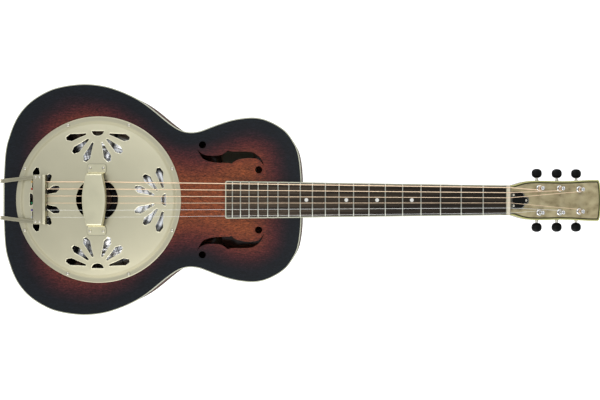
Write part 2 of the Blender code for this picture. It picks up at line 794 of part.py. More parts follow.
def make_hand_rest():
    """A sheet strap: a foot at each end, steep ends, and a broad raised middle with turned-down edges."""
    foot = BODY_DEPTH + DOME_RISE + GAP + REST_THICK
    rise = REST_TOP - foot
    stations = [
        (REST_FOOT, foot, 0.80 * REST_FOOT_HALF_WIDE, 0),
        (REST_FOOT - 3 * MM, foot, REST_FOOT_HALF_WIDE, 0),
        (REST_HALF + 3 * MM, foot, REST_FOOT_HALF_WIDE, 0),
        (REST_HALF + 1 * MM, foot + 0.2 * rise, REST_HALF_WIDE, 0.3),
        (REST_HALF - 2 * MM, foot + 0.85 * rise, REST_HALF_WIDE, 0.9),
        (REST_HALF - 6 * MM, foot + rise, REST_HALF_WIDE, 1),
        (REST_HALF * 0.55, foot + rise, REST_HALF_WIDE + 3.5 * MM, 1),
        (0, foot + rise, REST_MIDDLE_HALF_WIDE, 1),
    ]
    stations += [(-y, z, wide, flange) for y, z, wide, flange in reversed(stations[:-1])]
    shape = bmesh.new()
    rows = []
    for y, z, wide, flange in stations:
        drop = REST_FLANGE * flange
        across = [
            (-wide - REST_SPLAY * flange, z - drop - REST_SAG * (1 - flange)),
            (-wide * 0.97, z - 0.25 * drop),
            (-wide * 0.85, z),
            (0, z),
            (wide * 0.85, z),
            (wide * 0.97, z - 0.25 * drop),
            (wide + REST_SPLAY * flange, z - drop - REST_SAG * (1 - flange)),
        ]
        rows.append([shape.verts.new((x, y, high)) for x, high in across])
    for before, after in zip(rows, rows[1:]):
        for i in range(len(before) - 1):
            shape.faces.new((before[i], before[i + 1], after[i + 1], after[i]))
    bmesh.ops.recalc_face_normals(shape, faces=shape.faces)
    if sum(face.normal.z for face in shape.faces) < 0:
        bmesh.ops.reverse_faces(shape, faces=shape.faces)
    mesh = bpy.data.meshes.new("hand_rest")
    shape.to_mesh(mesh)
    shape.free()
    rest = add("hand_rest", mesh, NICKEL)
    sheet = rest.modifiers.new("sheet", "SOLIDIFY")
    sheet.thickness = REST_THICK - REST_SAG
    sheet.offset = -1


# ---------------------------------------------------------------- tailpiece


def string_line(number):
    """(radius, y at the saddle, y at the nut) of a string, 0 on the bass side."""
    steps = 2.5 - number
    return STRING_RADII_MM[number] * MM, steps * STRING_SPACING_SADDLE, steps * STRING_SPACING_NUT


def string_height(x, radius):
    """The middle of a string over x, between its ball and the nut."""
    saddle = SADDLE_TOP + GAP + radius
    if x > 0:
        nut = NUT_TOP + GAP + radius
        return saddle + (nut - saddle) * x / SCALE_LENGTH
    return saddle + STRING_TAIL_SLOPE * x


def sheared(made, at_tail, at_channel):
    """Move the strap sideways, from at_tail beyond the tail to at_channel at the channel."""
    for vertex in made.data.vertices:
        world = made.matrix_world @ vertex.co
        part = min(1, max(0, (world.x - TAIL_X) / (CHANNEL_BACK_X - TAIL_X)))
        shift = at_tail + (at_channel - at_tail) * part
        vertex.co = made.matrix_world.inverted() @ (world + Vector((0, shift, 0)))
    return made


def make_tailpiece():
    stand = Matrix.Rotation(math.radians(90), 4, "X")
    thick = CHANNEL_THICK
    outer = [
        (CHANNEL_BACK_X, CHANNEL_BACK_LOW),
        (CHANNEL_BACK_X, CHANNEL_TOP - 1.5 * MM),
        (CHANNEL_BACK_X + 1.5 * MM, CHANNEL_TOP),
        (CHANNEL_FRONT_X - 5.6 * MM, CHANNEL_TOP),
        (CHANNEL_FRONT_X - 4.8 * MM, CHANNEL_TOP + 1.6 * MM),
        (CHANNEL_FRONT_X - 3.6 * MM, CHANNEL_TOP + 2.0 * MM),
        (CHANNEL_FRONT_X - 2.0 * MM, CHANNEL_TOP + 1.6 * MM),
        (CHANNEL_FRONT_X, CHANNEL_FRONT_LOW),
    ]
    inner = [
        (CHANNEL_FRONT_X - thick, CHANNEL_FRONT_LOW - 0.5 * MM),
        (CHANNEL_FRONT_X - 3.4 * MM, CHANNEL_TOP - 0.2 * MM),
        (CHANNEL_FRONT_X - 4.6 * MM, CHANNEL_TOP - thick),
        (CHANNEL_BACK_X + 2.2 * MM, CHANNEL_TOP - thick),
        (CHANNEL_BACK_X + thick, CHANNEL_TOP - 2.2 * MM),
        (CHANNEL_BACK_X + thick, CHANNEL_BACK_LOW),
    ]
    channel = flat("tailpiece", [outer + inner], -CHANNEL_HALF, CHANNEL_HALF, NICKEL, stand)

    line = [Vector(point) for point in scaled(STRAP_LINE_MM)]
    over, below = [], []
    for i, point in enumerate(line):
        along = (line[min(i + 1, len(line) - 1)] - line[max(i - 1, 0)]).normalized()
        across = Vector((-along.y, along.x)) * STRAP_THICK / 2
        over.append(tuple(point + across))
        below.append(tuple(point - across))
    for side in (1, -1):
        strap = flat(
            f"strap_{side}",
            [over + below[::-1]],
            -STRAP_WIDE / 2,
            STRAP_WIDE / 2,
            None,
            stand,
            cutter=True,
        )
        sheared(strap, side * STRAP_Y_TAIL, side * STRAP_Y_CHANNEL)
        eye_low = side * STRAP_Y_TAIL - EYE_WIDE / 2
        eye = rod(
            f"eye_{side}",
            EYE_RADIUS,
            (HINGE_X, eye_low, HINGE_Z),
            (HINGE_X, eye_low + EYE_WIDE, HINGE_Z),
            sides=16,
        )
        join(channel, strap, eye)
    bore_start, bore_end = (HINGE_X, -BORE_HALF, HINGE_Z), (HINGE_X, BORE_HALF, HINGE_Z)
    bore = rod("eye_bore", PIN_RADIUS + GAP, bore_start, bore_end, sides=12)
    notches = []
    for number in range(len(STRING_RADII_MM)):
        radius, y, _ = string_line(number)
        back_z = string_height(CHANNEL_BACK_X, radius) + radius + NOTCH_ROOM
        front_z = string_height(CHANNEL_FRONT_X, radius) + radius + NOTCH_ROOM
        for x, top in ((CHANNEL_BACK_X, back_z), (CHANNEL_FRONT_X, front_z)):
            low = (x - 4 * MM, y - NOTCH_HALF, CHANNEL_BACK_LOW - 2 * MM)
            high = (x + 4 * MM, y + NOTCH_HALF, min(top, CHANNEL_TOP - thick - GAP))
            notches.append(box("notch", low, high, cutter=True))
    cut(channel, bore, merged("notches", notches))
    set_origin(channel, Vector((HINGE_X, 0, HINGE_Z)))

    half_pin = STRAP_Y_TAIL + EYE_WIDE / 2 + 1.2 * MM
    rod(
        "tailpiece_pin",
        PIN_RADIUS,
        (HINGE_X, -half_pin, HINGE_Z),
        (HINGE_X, half_pin, HINGE_Z),
        sides=12,
        material=STEEL,
        cutter=False,
    )
    face = TAIL_X - GAP
    bracket = box(
        "tailpiece_bracket",
        (face - BRACKET_THICK, -BRACKET_HALF, HINGE_Z - BRACKET_BELOW),
        (face, BRACKET_HALF, HINGE_Z + BRACKET_ABOVE),
        NICKEL,
    )
    knuckle_half = STRAP_Y_TAIL - EYE_WIDE / 2 - GAP
    knuckle = rod(
        "knuckle", KNUCKLE_RADIUS, (HINGE_X, -knuckle_half, HINGE_Z), (HINGE_X, knuckle_half, HINGE_Z)
    )
    hole = rod("pin_bore", PIN_RADIUS + GAP, bore_start, bore_end, sides=12)
    join(bracket, knuckle)
    cut(bracket, hole)

    button_profile = [
        (0, 11.5 * MM),
        (6 * MM, 11.0 * MM),
        (7 * MM, 9.6 * MM),
        (6.6 * MM, 8.0 * MM),
        (3.8 * MM, 6.0 * MM),
        (4.2 * MM, 2.5 * MM),
        (6.5 * MM, 0),
        (STRAP_SHANK, 0),
        (STRAP_SHANK, -STRAP_SHANK_LONG),
        (0, -STRAP_SHANK_LONG),
    ]
    face_middle = Matrix.Translation((TAIL_X - GAP, 0, STRAP_BUTTON_Z))
    outwards = face_middle @ Matrix.Rotation(math.radians(-90), 4, "Y")
    turned("strap_button", button_profile, CHROME, steps=16, place=outwards)


def set_origin(made, point):
    """Put the object's origin on a point without moving its shape."""
    shift = Matrix.Translation(-point)
    made.data.transform(shift @ made.matrix_world)
    made.matrix_world = Matrix.Translation(point)


# ---------------------------------------------------------------- neck


def board_half(x):
    part = (x - BOARD_END_X) / (SCALE_LENGTH - BOARD_END_X)
    return BOARD_HALF_END + (BOARD_HALF_NUT - BOARD_HALF_END) * part


def neck_section(x, half, deep):
    """A D-shaped ring at x, flat on top and rounded below."""
    ring = [(x, half, BODY_DEPTH), (x, -half, BODY_DEPTH)]
    for i in range(1, NECK_SECTION_STEPS):
        turn_to = math.pi - math.pi * i / NECK_SECTION_STEPS
        reach = math.copysign(abs(math.cos(turn_to)) ** 0.85, math.cos(turn_to))
        ring.append((x, half * reach, BODY_DEPTH - deep * math.sin(turn_to) ** 0.8))
    return ring


def head_frame():
    return Matrix.Translation(HEAD_ORIGIN) @ Matrix.Rotation(HEAD_ANGLE, 4, "Y")


def head_outline():
    """The headstock's outline, from the nut on the bass side round the tip to the treble side."""
    half = smooth_run(scaled(HEAD_HALF_MM), 1) + [scaled(HEAD_HALF_MM)[-1]] + scaled(HEAD_TIP_MM)
    return half + mirrored(half[:-1])


def tuner_places():
    """(name, side, along, across) of the six tuners, bass side first and nearest first."""
    places = []
    for side_name, side in (("bass", 1), ("treble", -1)):
        for number, (along, across) in enumerate(POSTS_MM, 1):
            places.append((f"{side_name}_{number}", side, along * MM, side * across * MM))
    return places


def make_neck():
    rings = [neck_section(x * MM, half * MM, deep * MM) for x, half, deep in NECK_SECTIONS_MM]
    neck = loft("neck", rings, MAHOGANY)
    head = head_frame()
    wood_top = -OVERLAY_THICK - GAP
    slab = flat("head_slab", [head_outline()], -HEAD_THICK, wood_top, None, head, cutter=True)
    join(neck, slab, tenon("tenon", 0))
    half, deep = ROD_HALF[0] + GAP, ROD_HALF[1] + GAP
    low = (CHANNEL_ENDS[0], -half, ROD_Z - deep)
    channel = box("rod_channel", low, (CHANNEL_ENDS[1], half, BODY_DEPTH + 1 * MM), cutter=True)
    low = (NUT_POCKET_ENDS[0], -POCKET_HALF, ROD_Z - POCKET_HALF)
    pocket = box("nut_pocket", low, (NUT_POCKET_ENDS[1], POCKET_HALF, NUT_POCKET_TOP), cutter=True)
    holes = []
    for _, _, x, y in tuner_places():
        below, above = head @ Vector((x, y, -2 * HEAD_THICK)), head @ Vector((x, y, HEAD_THICK))
        holes.append(rod("post_hole", POST_HOLE, below, above, sides=12))
    cut(neck, channel, pocket, merged("post_holes", holes))

    trim_outer = board_outline(0)
    trim_inner = board_outline(BOARD_BINDING)
    board = flat("fretboard", [board_outline(BOARD_BINDING + GAP)], BOARD_LOW, BOARD_TOP, ROSEWOOD)
    frets = []
    for number in range(1, FRETS + 1):
        x = SCALE_LENGTH * 2 ** (-number / 12)
        reach = board_half(x) - BOARD_BINDING - 2 * GAP
        low = (x - FRET_WIDE / 2, -reach, BOARD_TOP - 1 * MM)
        high = (x + FRET_WIDE / 2, reach, BOARD_TOP + FRET_HIGH)
        frets.append(box("fret", low, high, cutter=True))
    join(board, merged("frets", frets))
    flat("fretboard_binding", [trim_outer + trim_inner[::-1]], BOARD_LOW, BOARD_TOP, CREAM)

    nut = box(
        "nut",
        (SCALE_LENGTH, -BOARD_HALF_NUT, BOARD_LOW),
        (SCALE_LENGTH + NUT_LENGTH, BOARD_HALF_NUT, NUT_TOP),
        BONE,
    )
    bevel(nut, 0.8 * MM)
    make_head(head)


def board_outline(margin):
    """The board's edge from the nut round its end over the body, moved in by the margin."""
    corner = BOARD_CORNER
    x_nut = SCALE_LENGTH - GAP
    x_end = BOARD_END_X + margin
    bass = [(x_nut, board_half(x_nut) - margin)]
    middle = Vector((x_end + corner, board_half(x_end) - margin - corner))
    for i in range(4):
        turn_to = math.radians(90 + 30 * i)
        bass.append((middle.x + corner * math.cos(turn_to), middle.y + corner * math.sin(turn_to)))
    return bass + mirrored(bass)


def make_head(head):
    outline = head_outline()
    start = OVERLAY_START
    inner = [(max(x, start), y) for x, y in inset(outline, HEAD_BINDING + GAP)]
    holes = [circle(x, y, POST_HOLE, 12) for _, _, x, y in tuner_places()]
    pocket = [
        (POCKET_START, -POCKET_HALF),
        (POCKET_END, -POCKET_HALF),
        (POCKET_END, POCKET_HALF),
        (POCKET_START, POCKET_HALF),
    ]
    flat("headstock_overlay", [inner, pocket, *holes], -OVERLAY_THICK, 0, PEARLOID, head)
    edge = [(max(x, start), y) for x, y in outline]
    ring = [(max(x, start), y) for x, y in inset(outline, HEAD_BINDING)]
    flat("headstock_binding", [edge + ring[::-1]], -OVERLAY_THICK, 0, CREAM, head)

    half = scaled(ROD_COVER_MM)
    loop = half + mirrored(half[:-1])
    flat("truss_rod_cover", [loop], GAP, GAP + ROD_COVER_THICK, BLACK_PLASTIC, head)

    low = (ROD_START, -ROD_HALF[0], ROD_Z - ROD_HALF[1])
    box("truss_rod", low, (ROD_END, ROD_HALF[0], BODY_DEPTH - GAP), STEEL)
    nut_profile = [(0, ROD_NUT_LONG), (ROD_NUT_RADIUS, ROD_NUT_LONG), (ROD_NUT_RADIUS, 0), (0, 0)]
    rod_end = Matrix.Translation((SCALE_LENGTH + NUT_LENGTH + 0.5 * MM, 0, ROD_Z))
    along = rod_end @ Matrix.Rotation(math.radians(90), 4, "Y")
    turned("truss_rod_nut", nut_profile, STEEL, steps=6, place=along)


# ---------------------------------------------------------------- strings and tuners


def make_strings():
    head = head_frame()
    posts = [(x, y) for _, _, x, y in tuner_places()]
    order = (0, 1, 2, 5, 4, 3)
    for number in range(len(STRING_RADII_MM)):
        radius, y_saddle, y_nut = string_line(number)
        along, across = posts[order[number]]
        side = 1 if across > 0 else -1
        end_local = Vector((along, across - side * (POST_WAIST + GAP + radius), STRING_HEIGHT_AT_POST))
        end = head @ end_local
        saddle_z = string_height(0, radius)
        nut_z = string_height(SCALE_LENGTH, radius)
        route = [
            (BALL_X, y_saddle, string_height(BALL_X, radius)),
            (-1.5 * MM, y_saddle, saddle_z - 0.06 * MM),
            (1.5 * MM, y_saddle, saddle_z),
            (SCALE_LENGTH + 0.5 * MM, y_nut, nut_z),
            (SCALE_LENGTH + NUT_LENGTH, y_nut, nut_z - 0.1 * MM),
            tuple(end),
        ]
        curve = bpy.data.curves.new(f"string_{number + 1}", "CURVE")
        curve.dimensions = "3D"
        curve.bevel_depth = radius
        curve.bevel_resolution = 2
        curve.use_fill_caps = True
        spline = curve.splines.new("POLY")
        spline.points.add(len(route) - 1)
        for point, place in zip(spline.points, route):
            point.co = (*place, 1)
        name = f"string_{6 - number}"
        wire = add(name, curve, BRONZE if number < WOUND_STRINGS else STEEL)
        bpy.context.view_layer.update()
        wire = baked(wire)
        ball_z = string_height(BALL_X, radius)
        ball = rod(
            f"ball_{6 - number}",
            BALL_RADIUS,
            (BALL_X, y_saddle - BALL_HALF_WIDE, ball_z),
            (BALL_X, y_saddle + BALL_HALF_WIDE, ball_z),
            sides=12,
        )
        join(wire, ball)


def make_tuners():
    head = head_frame()
    worm_z = (GEAR_TOP + GEAR_LOW) / 2
    for name, side, along, across in tuner_places():
        post_profile = [
            (0, POST_TOP),
            (2.4 * MM, POST_TOP - 0.2 * MM),
            (POST_HEAD, POST_TOP - 1.2 * MM),
            (POST_HEAD, POST_TOP - 2.6 * MM),
            (POST_WAIST, POST_TOP - 4 * MM),
            (POST_WAIST, 4.5 * MM),
            (POST_RADIUS, 3 * MM),
            (POST_RADIUS, GEAR_TOP),
            (GEAR_RADIUS, GEAR_TOP),
            (GEAR_RADIUS, GEAR_LOW),
            (1.6 * MM, GEAR_LOW),
            (1.4 * MM, GEAR_LOW - 1.2 * MM),
            (0, GEAR_LOW - 1.2 * MM),
        ]
        place = head @ Matrix.Translation((along, across, 0))
        turned(f"tuner_post_{name}", post_profile, CHROME, steps=10, place=place)

        worm_x = along + WORM_AHEAD
        inner_y = across - side * SHAFT_INSIDE
        button_y = side * BUTTON_MIDDLE
        shaft_end = side * (BUTTON_MIDDLE - 3 * MM)
        origin = head @ Vector((worm_x, button_y, worm_z))
        shaft = rod(
            f"tuner_knob_{name}",
            WORM_RADIUS,
            head @ Vector((worm_x, inner_y, worm_z)),
            head @ Vector((worm_x, shaft_end, worm_z)),
            sides=12,
            material=BLACK_PLASTIC,
            cutter=False,
        )
        shape = bmesh.new()
        bmesh.ops.create_uvsphere(shape, u_segments=12, v_segments=6, radius=1)
        bmesh.ops.scale(shape, vec=BUTTON_HALF, verts=shape.verts)
        mesh = bpy.data.meshes.new("button")
        shape.to_mesh(mesh)
        shape.free()
        stand = head @ Matrix.Translation((worm_x, button_y, worm_z))
        button = add(f"button_{name}", mesh, None, stand, cutter=True)
        join(shaft, button)
        set_origin(shaft, origin)

    plate_top = -HEAD_THICK - GAP
    plate_low = plate_top - TUNER_PLATE_THICK
    for side_name, side in (("bass", 1), ("treble", -1)):
        rows = [place for place in tuner_places() if place[1] == side]
        x0 = rows[0][2] - TUNER_PLATE_PAST[0]
        x1 = rows[-1][2] + TUNER_PLATE_PAST[1]
        y0, y1 = TUNER_PLATE_Y
        loops = [[(x, side * y) for x, y in ((x0, y0), (x1, y0), (x1, y1), (x0, y1))]]
        loops += [circle(x, y, POST_HOLE, 12) for _, _, x, y in rows]
        plate = flat(f"tuner_plate_{side_name}", loops, plate_low, plate_top, NICKEL, head)
        ears = []
        bores = []
        for _, _, x, y in rows:
            bore_x = x + WORM_AHEAD
            for ear_y in (y - EAR_SHIFT, y + EAR_SHIFT):
                low = (bore_x - EAR_HALF[0], ear_y - EAR_HALF[1], worm_z - EAR_HALF[2])
                high = (bore_x + EAR_HALF[0], ear_y + EAR_HALF[1], plate_low + TUNER_PLATE_THICK / 2)
                ears.append(box("ear", low, high, place=head, cutter=True))
            start = head @ Vector((bore_x, y - EAR_SHIFT - 2.4 * MM, worm_z))
            end = head @ Vector((bore_x, y + EAR_SHIFT + 2.4 * MM, worm_z))
            bores.append(rod("bore", WORM_RADIUS + GAP, start, end, sides=12))
        bpy.context.view_layer.update()
        join(plate, merged(f"ears_{side_name}", ears))
        cut(plate, merged(f"bores_{side_name}", bores))


make_body()
make_resonator()
make_cover()
make_hand_rest()
make_tailpiece()
make_neck()
make_strings()
make_tuners()
for made in parts.objects:
    if made.type == "MESH":
        made.data.shade_smooth()
        made.data.set_sharp_from_angle(angle=math.radians(35))
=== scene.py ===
"""The looks of the resonator guitar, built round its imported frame, in metres."""

import json
import math

import bmesh
import bpy
import numpy as np
from mathutils import Matrix, Vector, geometry, kdtree


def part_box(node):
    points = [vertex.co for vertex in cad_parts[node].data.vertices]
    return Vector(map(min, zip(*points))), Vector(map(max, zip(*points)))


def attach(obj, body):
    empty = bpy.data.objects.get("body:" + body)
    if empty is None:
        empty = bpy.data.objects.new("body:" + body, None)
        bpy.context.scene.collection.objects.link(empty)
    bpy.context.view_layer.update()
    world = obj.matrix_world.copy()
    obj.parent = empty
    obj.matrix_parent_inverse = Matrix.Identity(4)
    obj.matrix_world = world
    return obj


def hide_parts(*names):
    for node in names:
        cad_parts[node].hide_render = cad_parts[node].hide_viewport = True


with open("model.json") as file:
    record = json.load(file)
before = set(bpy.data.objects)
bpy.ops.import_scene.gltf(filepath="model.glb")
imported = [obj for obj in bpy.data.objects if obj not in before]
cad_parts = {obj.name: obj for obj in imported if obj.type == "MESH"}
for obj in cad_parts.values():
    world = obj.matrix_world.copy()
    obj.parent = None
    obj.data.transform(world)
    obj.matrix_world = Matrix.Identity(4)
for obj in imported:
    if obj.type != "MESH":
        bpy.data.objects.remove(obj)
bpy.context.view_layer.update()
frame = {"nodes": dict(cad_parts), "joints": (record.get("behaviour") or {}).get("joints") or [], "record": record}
nodes = frame["nodes"]
joints = {joint["name"]: joint for joint in frame["joints"]}
MM = 0.001

# ---------------------------------------------------------------- places and sizes

TOP_UNDER, TOP_Z = (corner.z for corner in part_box("body_top"))
BACK_Z, BACK_INSIDE = (corner.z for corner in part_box("body_back"))
TAIL_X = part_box("top_binding")[0].x
BINDING_WIDE = 1.5 * MM
BINDING_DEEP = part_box("top_binding")[1].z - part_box("top_binding")[0].z
PLATE_LOW, PLATE_HIGH = (corner.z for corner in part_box("cover_plate"))
PLATE_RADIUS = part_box("cover_plate")[1].x
PLATE_THICK = 1.0 * MM
DOME_EDGE, FLANGE_INSIDE = 118.6 * MM, 123.4 * MM
CHANNEL_BACK, CHANNEL_FRONT, CHANNEL_TOP, CHANNEL_HALF = -99.5 * MM, -78.5 * MM, 99.3 * MM, 38.5 * MM
HINGE = Vector(joints["tailpiece_hinge"]["pos_m"])
SADDLE_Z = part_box("saddle")[1].z
BOARD_LOW, BOARD_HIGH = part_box("fretboard_binding")
BOARD_END_X, BOARD_TOP, BOARD_HALF_END = BOARD_LOW.x, BOARD_HIGH.z, BOARD_HIGH.y
FRET_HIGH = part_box("fretboard")[1].z - BOARD_TOP
NUT_LOW, NUT_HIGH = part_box("nut")
SCALE_LENGTH = NUT_LOW.x
# Each side's three posts: how far along the headstock's face, and how far from its middle.
POSTS = ((48.1 * MM, 18.9 * MM), (82.4 * MM, 18.6 * MM), (115.8 * MM, 17.3 * MM))


def head_frame():
    """The headstock's frame: X along its face from where it begins, Z out of it, found from a post."""
    post = joints["post_bass_1_turn"]
    out = Vector(post["axis"])
    along = Vector((out.z, 0, -out.x))
    start = Vector(post["pos_m"]) * Vector((1, 0, 1)) - along * POSTS[0][0]
    turn = Matrix(((along.x, 0, out.x, 0), (0, 1, 0, 0), (along.z, 0, out.z, 0), (0, 0, 0, 1)))
    return Matrix.Translation(start) @ turn


HEAD = head_frame()

# ---------------------------------------------------------------- material nodes


def fill_ramp(line, stops):
    """Sets a colour ramp's stops: (position, colour or grey level)."""
    line.elements.remove(line.elements[1])
    for number, (position, colour) in enumerate(stops):
        element = line.elements.new(position) if number else line.elements[0]
        element.position = position
        element.color = (*colour, 1) if isinstance(colour, tuple) else (colour, colour, colour, 1)


class Finish:
    """A Principled material and the nodes that feed it."""

    def __init__(self, name, colour, roughness, metallic=0.0, **sockets):
        self.material = bpy.data.materials.new(name)
        self.material.use_nodes = True
        self.tree = self.material.node_tree
        self.shader = self.tree.nodes["Principled BSDF"]
        values = {"Base_Color": (*colour, 1), "Roughness": roughness, "Metallic": metallic, **sockets}
        for socket, value in values.items():
            self.shader.inputs[socket.replace("_", " ")].default_value = value

    def put(self, value, socket):
        if isinstance(value, bpy.types.NodeSocket):
            self.tree.links.new(value, socket)
        else:
            socket.default_value = value

    def node(self, kind, inputs=(), **settings):
        made = self.tree.nodes.new(kind)
        for name, value in settings.items():
            setattr(made, name, value)
        for key, value in dict(inputs).items():
            self.put(value, made.inputs[key])
        return made

    def place(self, scale=(1, 1, 1)):
        """The point on the object, in metres, stretched by the scale."""
        coordinates = self.node("ShaderNodeTexCoord").outputs["Object"]
        return self.node("ShaderNodeMapping", {"Vector": coordinates, "Scale": scale}).outputs["Vector"]

    def noise(self, vector, detail=3.0, rough=0.55, scale=1.0):
        """Noise over a vector, or over the point on the object stretched by three scales."""
        if isinstance(vector, tuple):
            vector = self.place(vector)
        inputs = {"Vector": vector, "Scale": scale, "Detail": detail, "Roughness": rough}
        return self.node("ShaderNodeTexNoise", inputs).outputs["Fac"]

    def grain(self):
        """Streaks that run along X."""
        return self.noise((55, 420, 420), 5.0, 0.6)

    def ramp(self, value, stops, smooth=False):
        made = self.node("ShaderNodeValToRGB", {"Fac": value})
        made.color_ramp.interpolation = "EASE" if smooth else "LINEAR"
        fill_ramp(made.color_ramp, stops)
        return made.outputs["Color"]

    def mix(self, share, one, two, way="MIX"):
        made = self.node("ShaderNodeMix", data_type="RGBA", blend_type=way)
        self.put(share, made.inputs["Factor"])
        for socket, value in ((made.inputs[6], one), (made.inputs[7], two)):
            self.put((*value, 1) if isinstance(value, tuple) else value, socket)
        return made.outputs[2]

    def times(self, one, two, share=1.0):
        """One colour multiplied by another."""
        return self.mix(share, one, two, "MULTIPLY")

    def math(self, operation, *values):
        made = self.node("ShaderNodeMath", operation=operation)
        for value, socket in zip(values, made.inputs):
            self.put(value, socket)
        return made.outputs[0]

    def vector_math(self, operation, *vectors):
        made = self.node("ShaderNodeVectorMath", dict(enumerate(vectors)), operation=operation)
        return made.outputs["Value" if operation in ("LENGTH", "DOT_PRODUCT") else "Vector"]

    def along(self, axis, vector=None):
        """One coordinate of a vector, or of the point on the object."""
        vector = self.place() if vector is None else vector
        return self.node("ShaderNodeSeparateXYZ", {0: vector}).outputs[axis]

    def attribute(self, name, scale):
        value = self.node("ShaderNodeAttribute", attribute_name=name).outputs["Fac"]
        return self.math("MULTIPLY", value, scale)

    def colour(self, value):
        self.tree.links.new(value, self.shader.inputs["Base Color"])

    def rough(self, value, low, high):
        made = self.node("ShaderNodeMapRange", {"Value": value, "To Min": low, "To Max": high})
        self.tree.links.new(made.outputs["Result"], self.shader.inputs["Roughness"])

    def bump(self, height, depth, strength):
        made = self.node("ShaderNodeBump", {"Height": height, "Distance": depth, "Strength": strength})
        self.tree.links.new(made.outputs["Normal"], self.shader.inputs["Normal"])


# ---------------------------------------------------------------- camera, light and floor

CAMERA_X = 0.3664
CAMERA_HEIGHT = 1.42
CAMERA_TILT = math.radians(2.0)
CAMERA_ROLL = math.radians(0.1)
CAMERA_LENS = 54.7
SKY_COLOUR = (0.93, 0.96, 1)
# How bright the studio is from behind the tail (0) over the top (0.5) to beyond the headstock (1).
SKY_LEVELS = (
    (0.0, 0.9), (0.25, 0.60), (0.40, 0.70), (0.50, 0.90),
    (0.60, 1.04), (0.68, 1.04), (0.80, 0.55), (1.0, 0.40),
)
LIGHT_SIZE = (3.0, 1.6)
LIGHT_TARGET = (0.1, 0, 0.1)
LIGHTS = (("key", (0.25, -1.7, 1.5), 34, (1, 0.985, 0.96)), ("fill", (0.2, 1.7, 1.5), 22, (0.97, 0.985, 1)))
FLOOR_REACH = 6.0
FLOOR_GLOW = 0.72


def new_object(name, data):
    made = bpy.data.objects.new(name, data)
    bpy.context.scene.collection.objects.link(made)
    return made


def make_camera():
    camera = new_object("camera", bpy.data.cameras.new("camera"))
    camera.data.lens = CAMERA_LENS
    camera.data.sensor_width = 36
    camera.location = (CAMERA_X, 0, TOP_Z + CAMERA_HEIGHT)
    camera.rotation_euler = (0, CAMERA_TILT, CAMERA_ROLL)
    bpy.context.scene.camera = camera


def make_sky():
    world = bpy.data.worlds.new("studio")
    world.use_nodes = True
    tree = world.node_tree
    background = tree.nodes["Background"]
    background.inputs["Color"].default_value = (*SKY_COLOUR, 1)
    way = tree.nodes.new("ShaderNodeSeparateXYZ")
    share = tree.nodes.new("ShaderNodeMapRange")
    share.inputs["From Min"].default_value = -1
    ramp = tree.nodes.new("ShaderNodeValToRGB")
    fill_ramp(ramp.color_ramp, SKY_LEVELS)
    tree.links.new(tree.nodes.new("ShaderNodeTexCoord").outputs["Generated"], way.inputs[0])
    tree.links.new(way.outputs["X"], share.inputs["Value"])
    tree.links.new(share.outputs["Result"], ramp.inputs["Fac"])
    tree.links.new(ramp.outputs["Color"], background.inputs["Strength"])
    bpy.context.scene.world = world
    bpy.context.scene.view_settings.view_transform = "Standard"


def make_lights():
    for name, place, power, colour in LIGHTS:
        lamp = bpy.data.lights.new(name, "AREA")
        lamp.shape = "RECTANGLE"
        lamp.size, lamp.size_y = LIGHT_SIZE
        lamp.energy = power
        lamp.color = colour
        made = new_object(name, lamp)
        made.location = place
        made.rotation_euler = (Vector(LIGHT_TARGET) - Vector(place)).to_track_quat("-Z", "Y").to_euler()


def make_floor():
    mesh = bpy.data.meshes.new("floor")
    corners = [(x * FLOOR_REACH, y * FLOOR_REACH, 0) for x, y in ((-1, -1), (1, -1), (1, 1), (-1, 1))]
    mesh.from_pydata(corners, [], [(0, 1, 2, 3)])
    floor = new_object("floor", mesh)
    floor.location.z = BACK_Z - 0.5 * MM
    glow = {"Emission_Color": (1, 1, 1, 1), "Emission_Strength": FLOOR_GLOW}
    mesh.materials.append(Finish("floor", (0.8, 0.8, 0.8), 0.9, Specular_IOR_Level=0.1, **glow).material)


# ---------------------------------------------------------------- materials

LACQUER = {"Coat_Weight": 0.4, "Coat_Roughness": 0.08, "Specular_IOR_Level": 0.08}
SATIN = {"Coat_Weight": 0.1, "Coat_Roughness": 0.2, "Specular_IOR_Level": 0.0}
# How fine the pores are: on the flat-sawn top, and on the back and sides.
FLAT_GRAIN = (260, 760, 760)
LONG_GRAIN = (60, 900, 900)
TOP_STOPS = (
    (0.00, (0.0032, 0.0060, 0.0084)), (0.17, (0.0040, 0.0042, 0.0070)), (0.27, (0.016, 0.0050, 0.0075)),
    (0.37, (0.043, 0.0078, 0.0090)), (0.48, (0.081, 0.0145, 0.0110)), (0.62, (0.132, 0.0270, 0.0120)),
    (0.80, (0.186, 0.0445, 0.0135)),
)
BACK_STOPS = (
    (0.00, (0.004, 0.0035, 0.0035)), (0.10, (0.010, 0.0045, 0.004)), (0.24, (0.050, 0.013, 0.007)),
    (0.45, (0.125, 0.036, 0.013)), (0.90, (0.175, 0.056, 0.02)),
)


def shaded(colour, share):
    return tuple(c * share for c in colour)


def wood(name, dark, light, roughness, **sockets):
    finish = Finish(name, light, roughness, **sockets)
    streaks = finish.grain()
    broad = finish.noise((9, 38, 38), 2.0)
    tone = finish.math("MULTIPLY_ADD", streaks, 0.65, finish.math("MULTIPLY", broad, 0.35))
    finish.colour(finish.ramp(tone, ((0.32, dark), (0.66, light))))
    finish.rough(streaks, roughness * 0.85, min(1, roughness * 1.2))
    finish.bump(finish.mix(0.5, streaks, finish.noise((160, 2600, 2600), 2.0)), 0.00012, 0.5)
    return finish.material


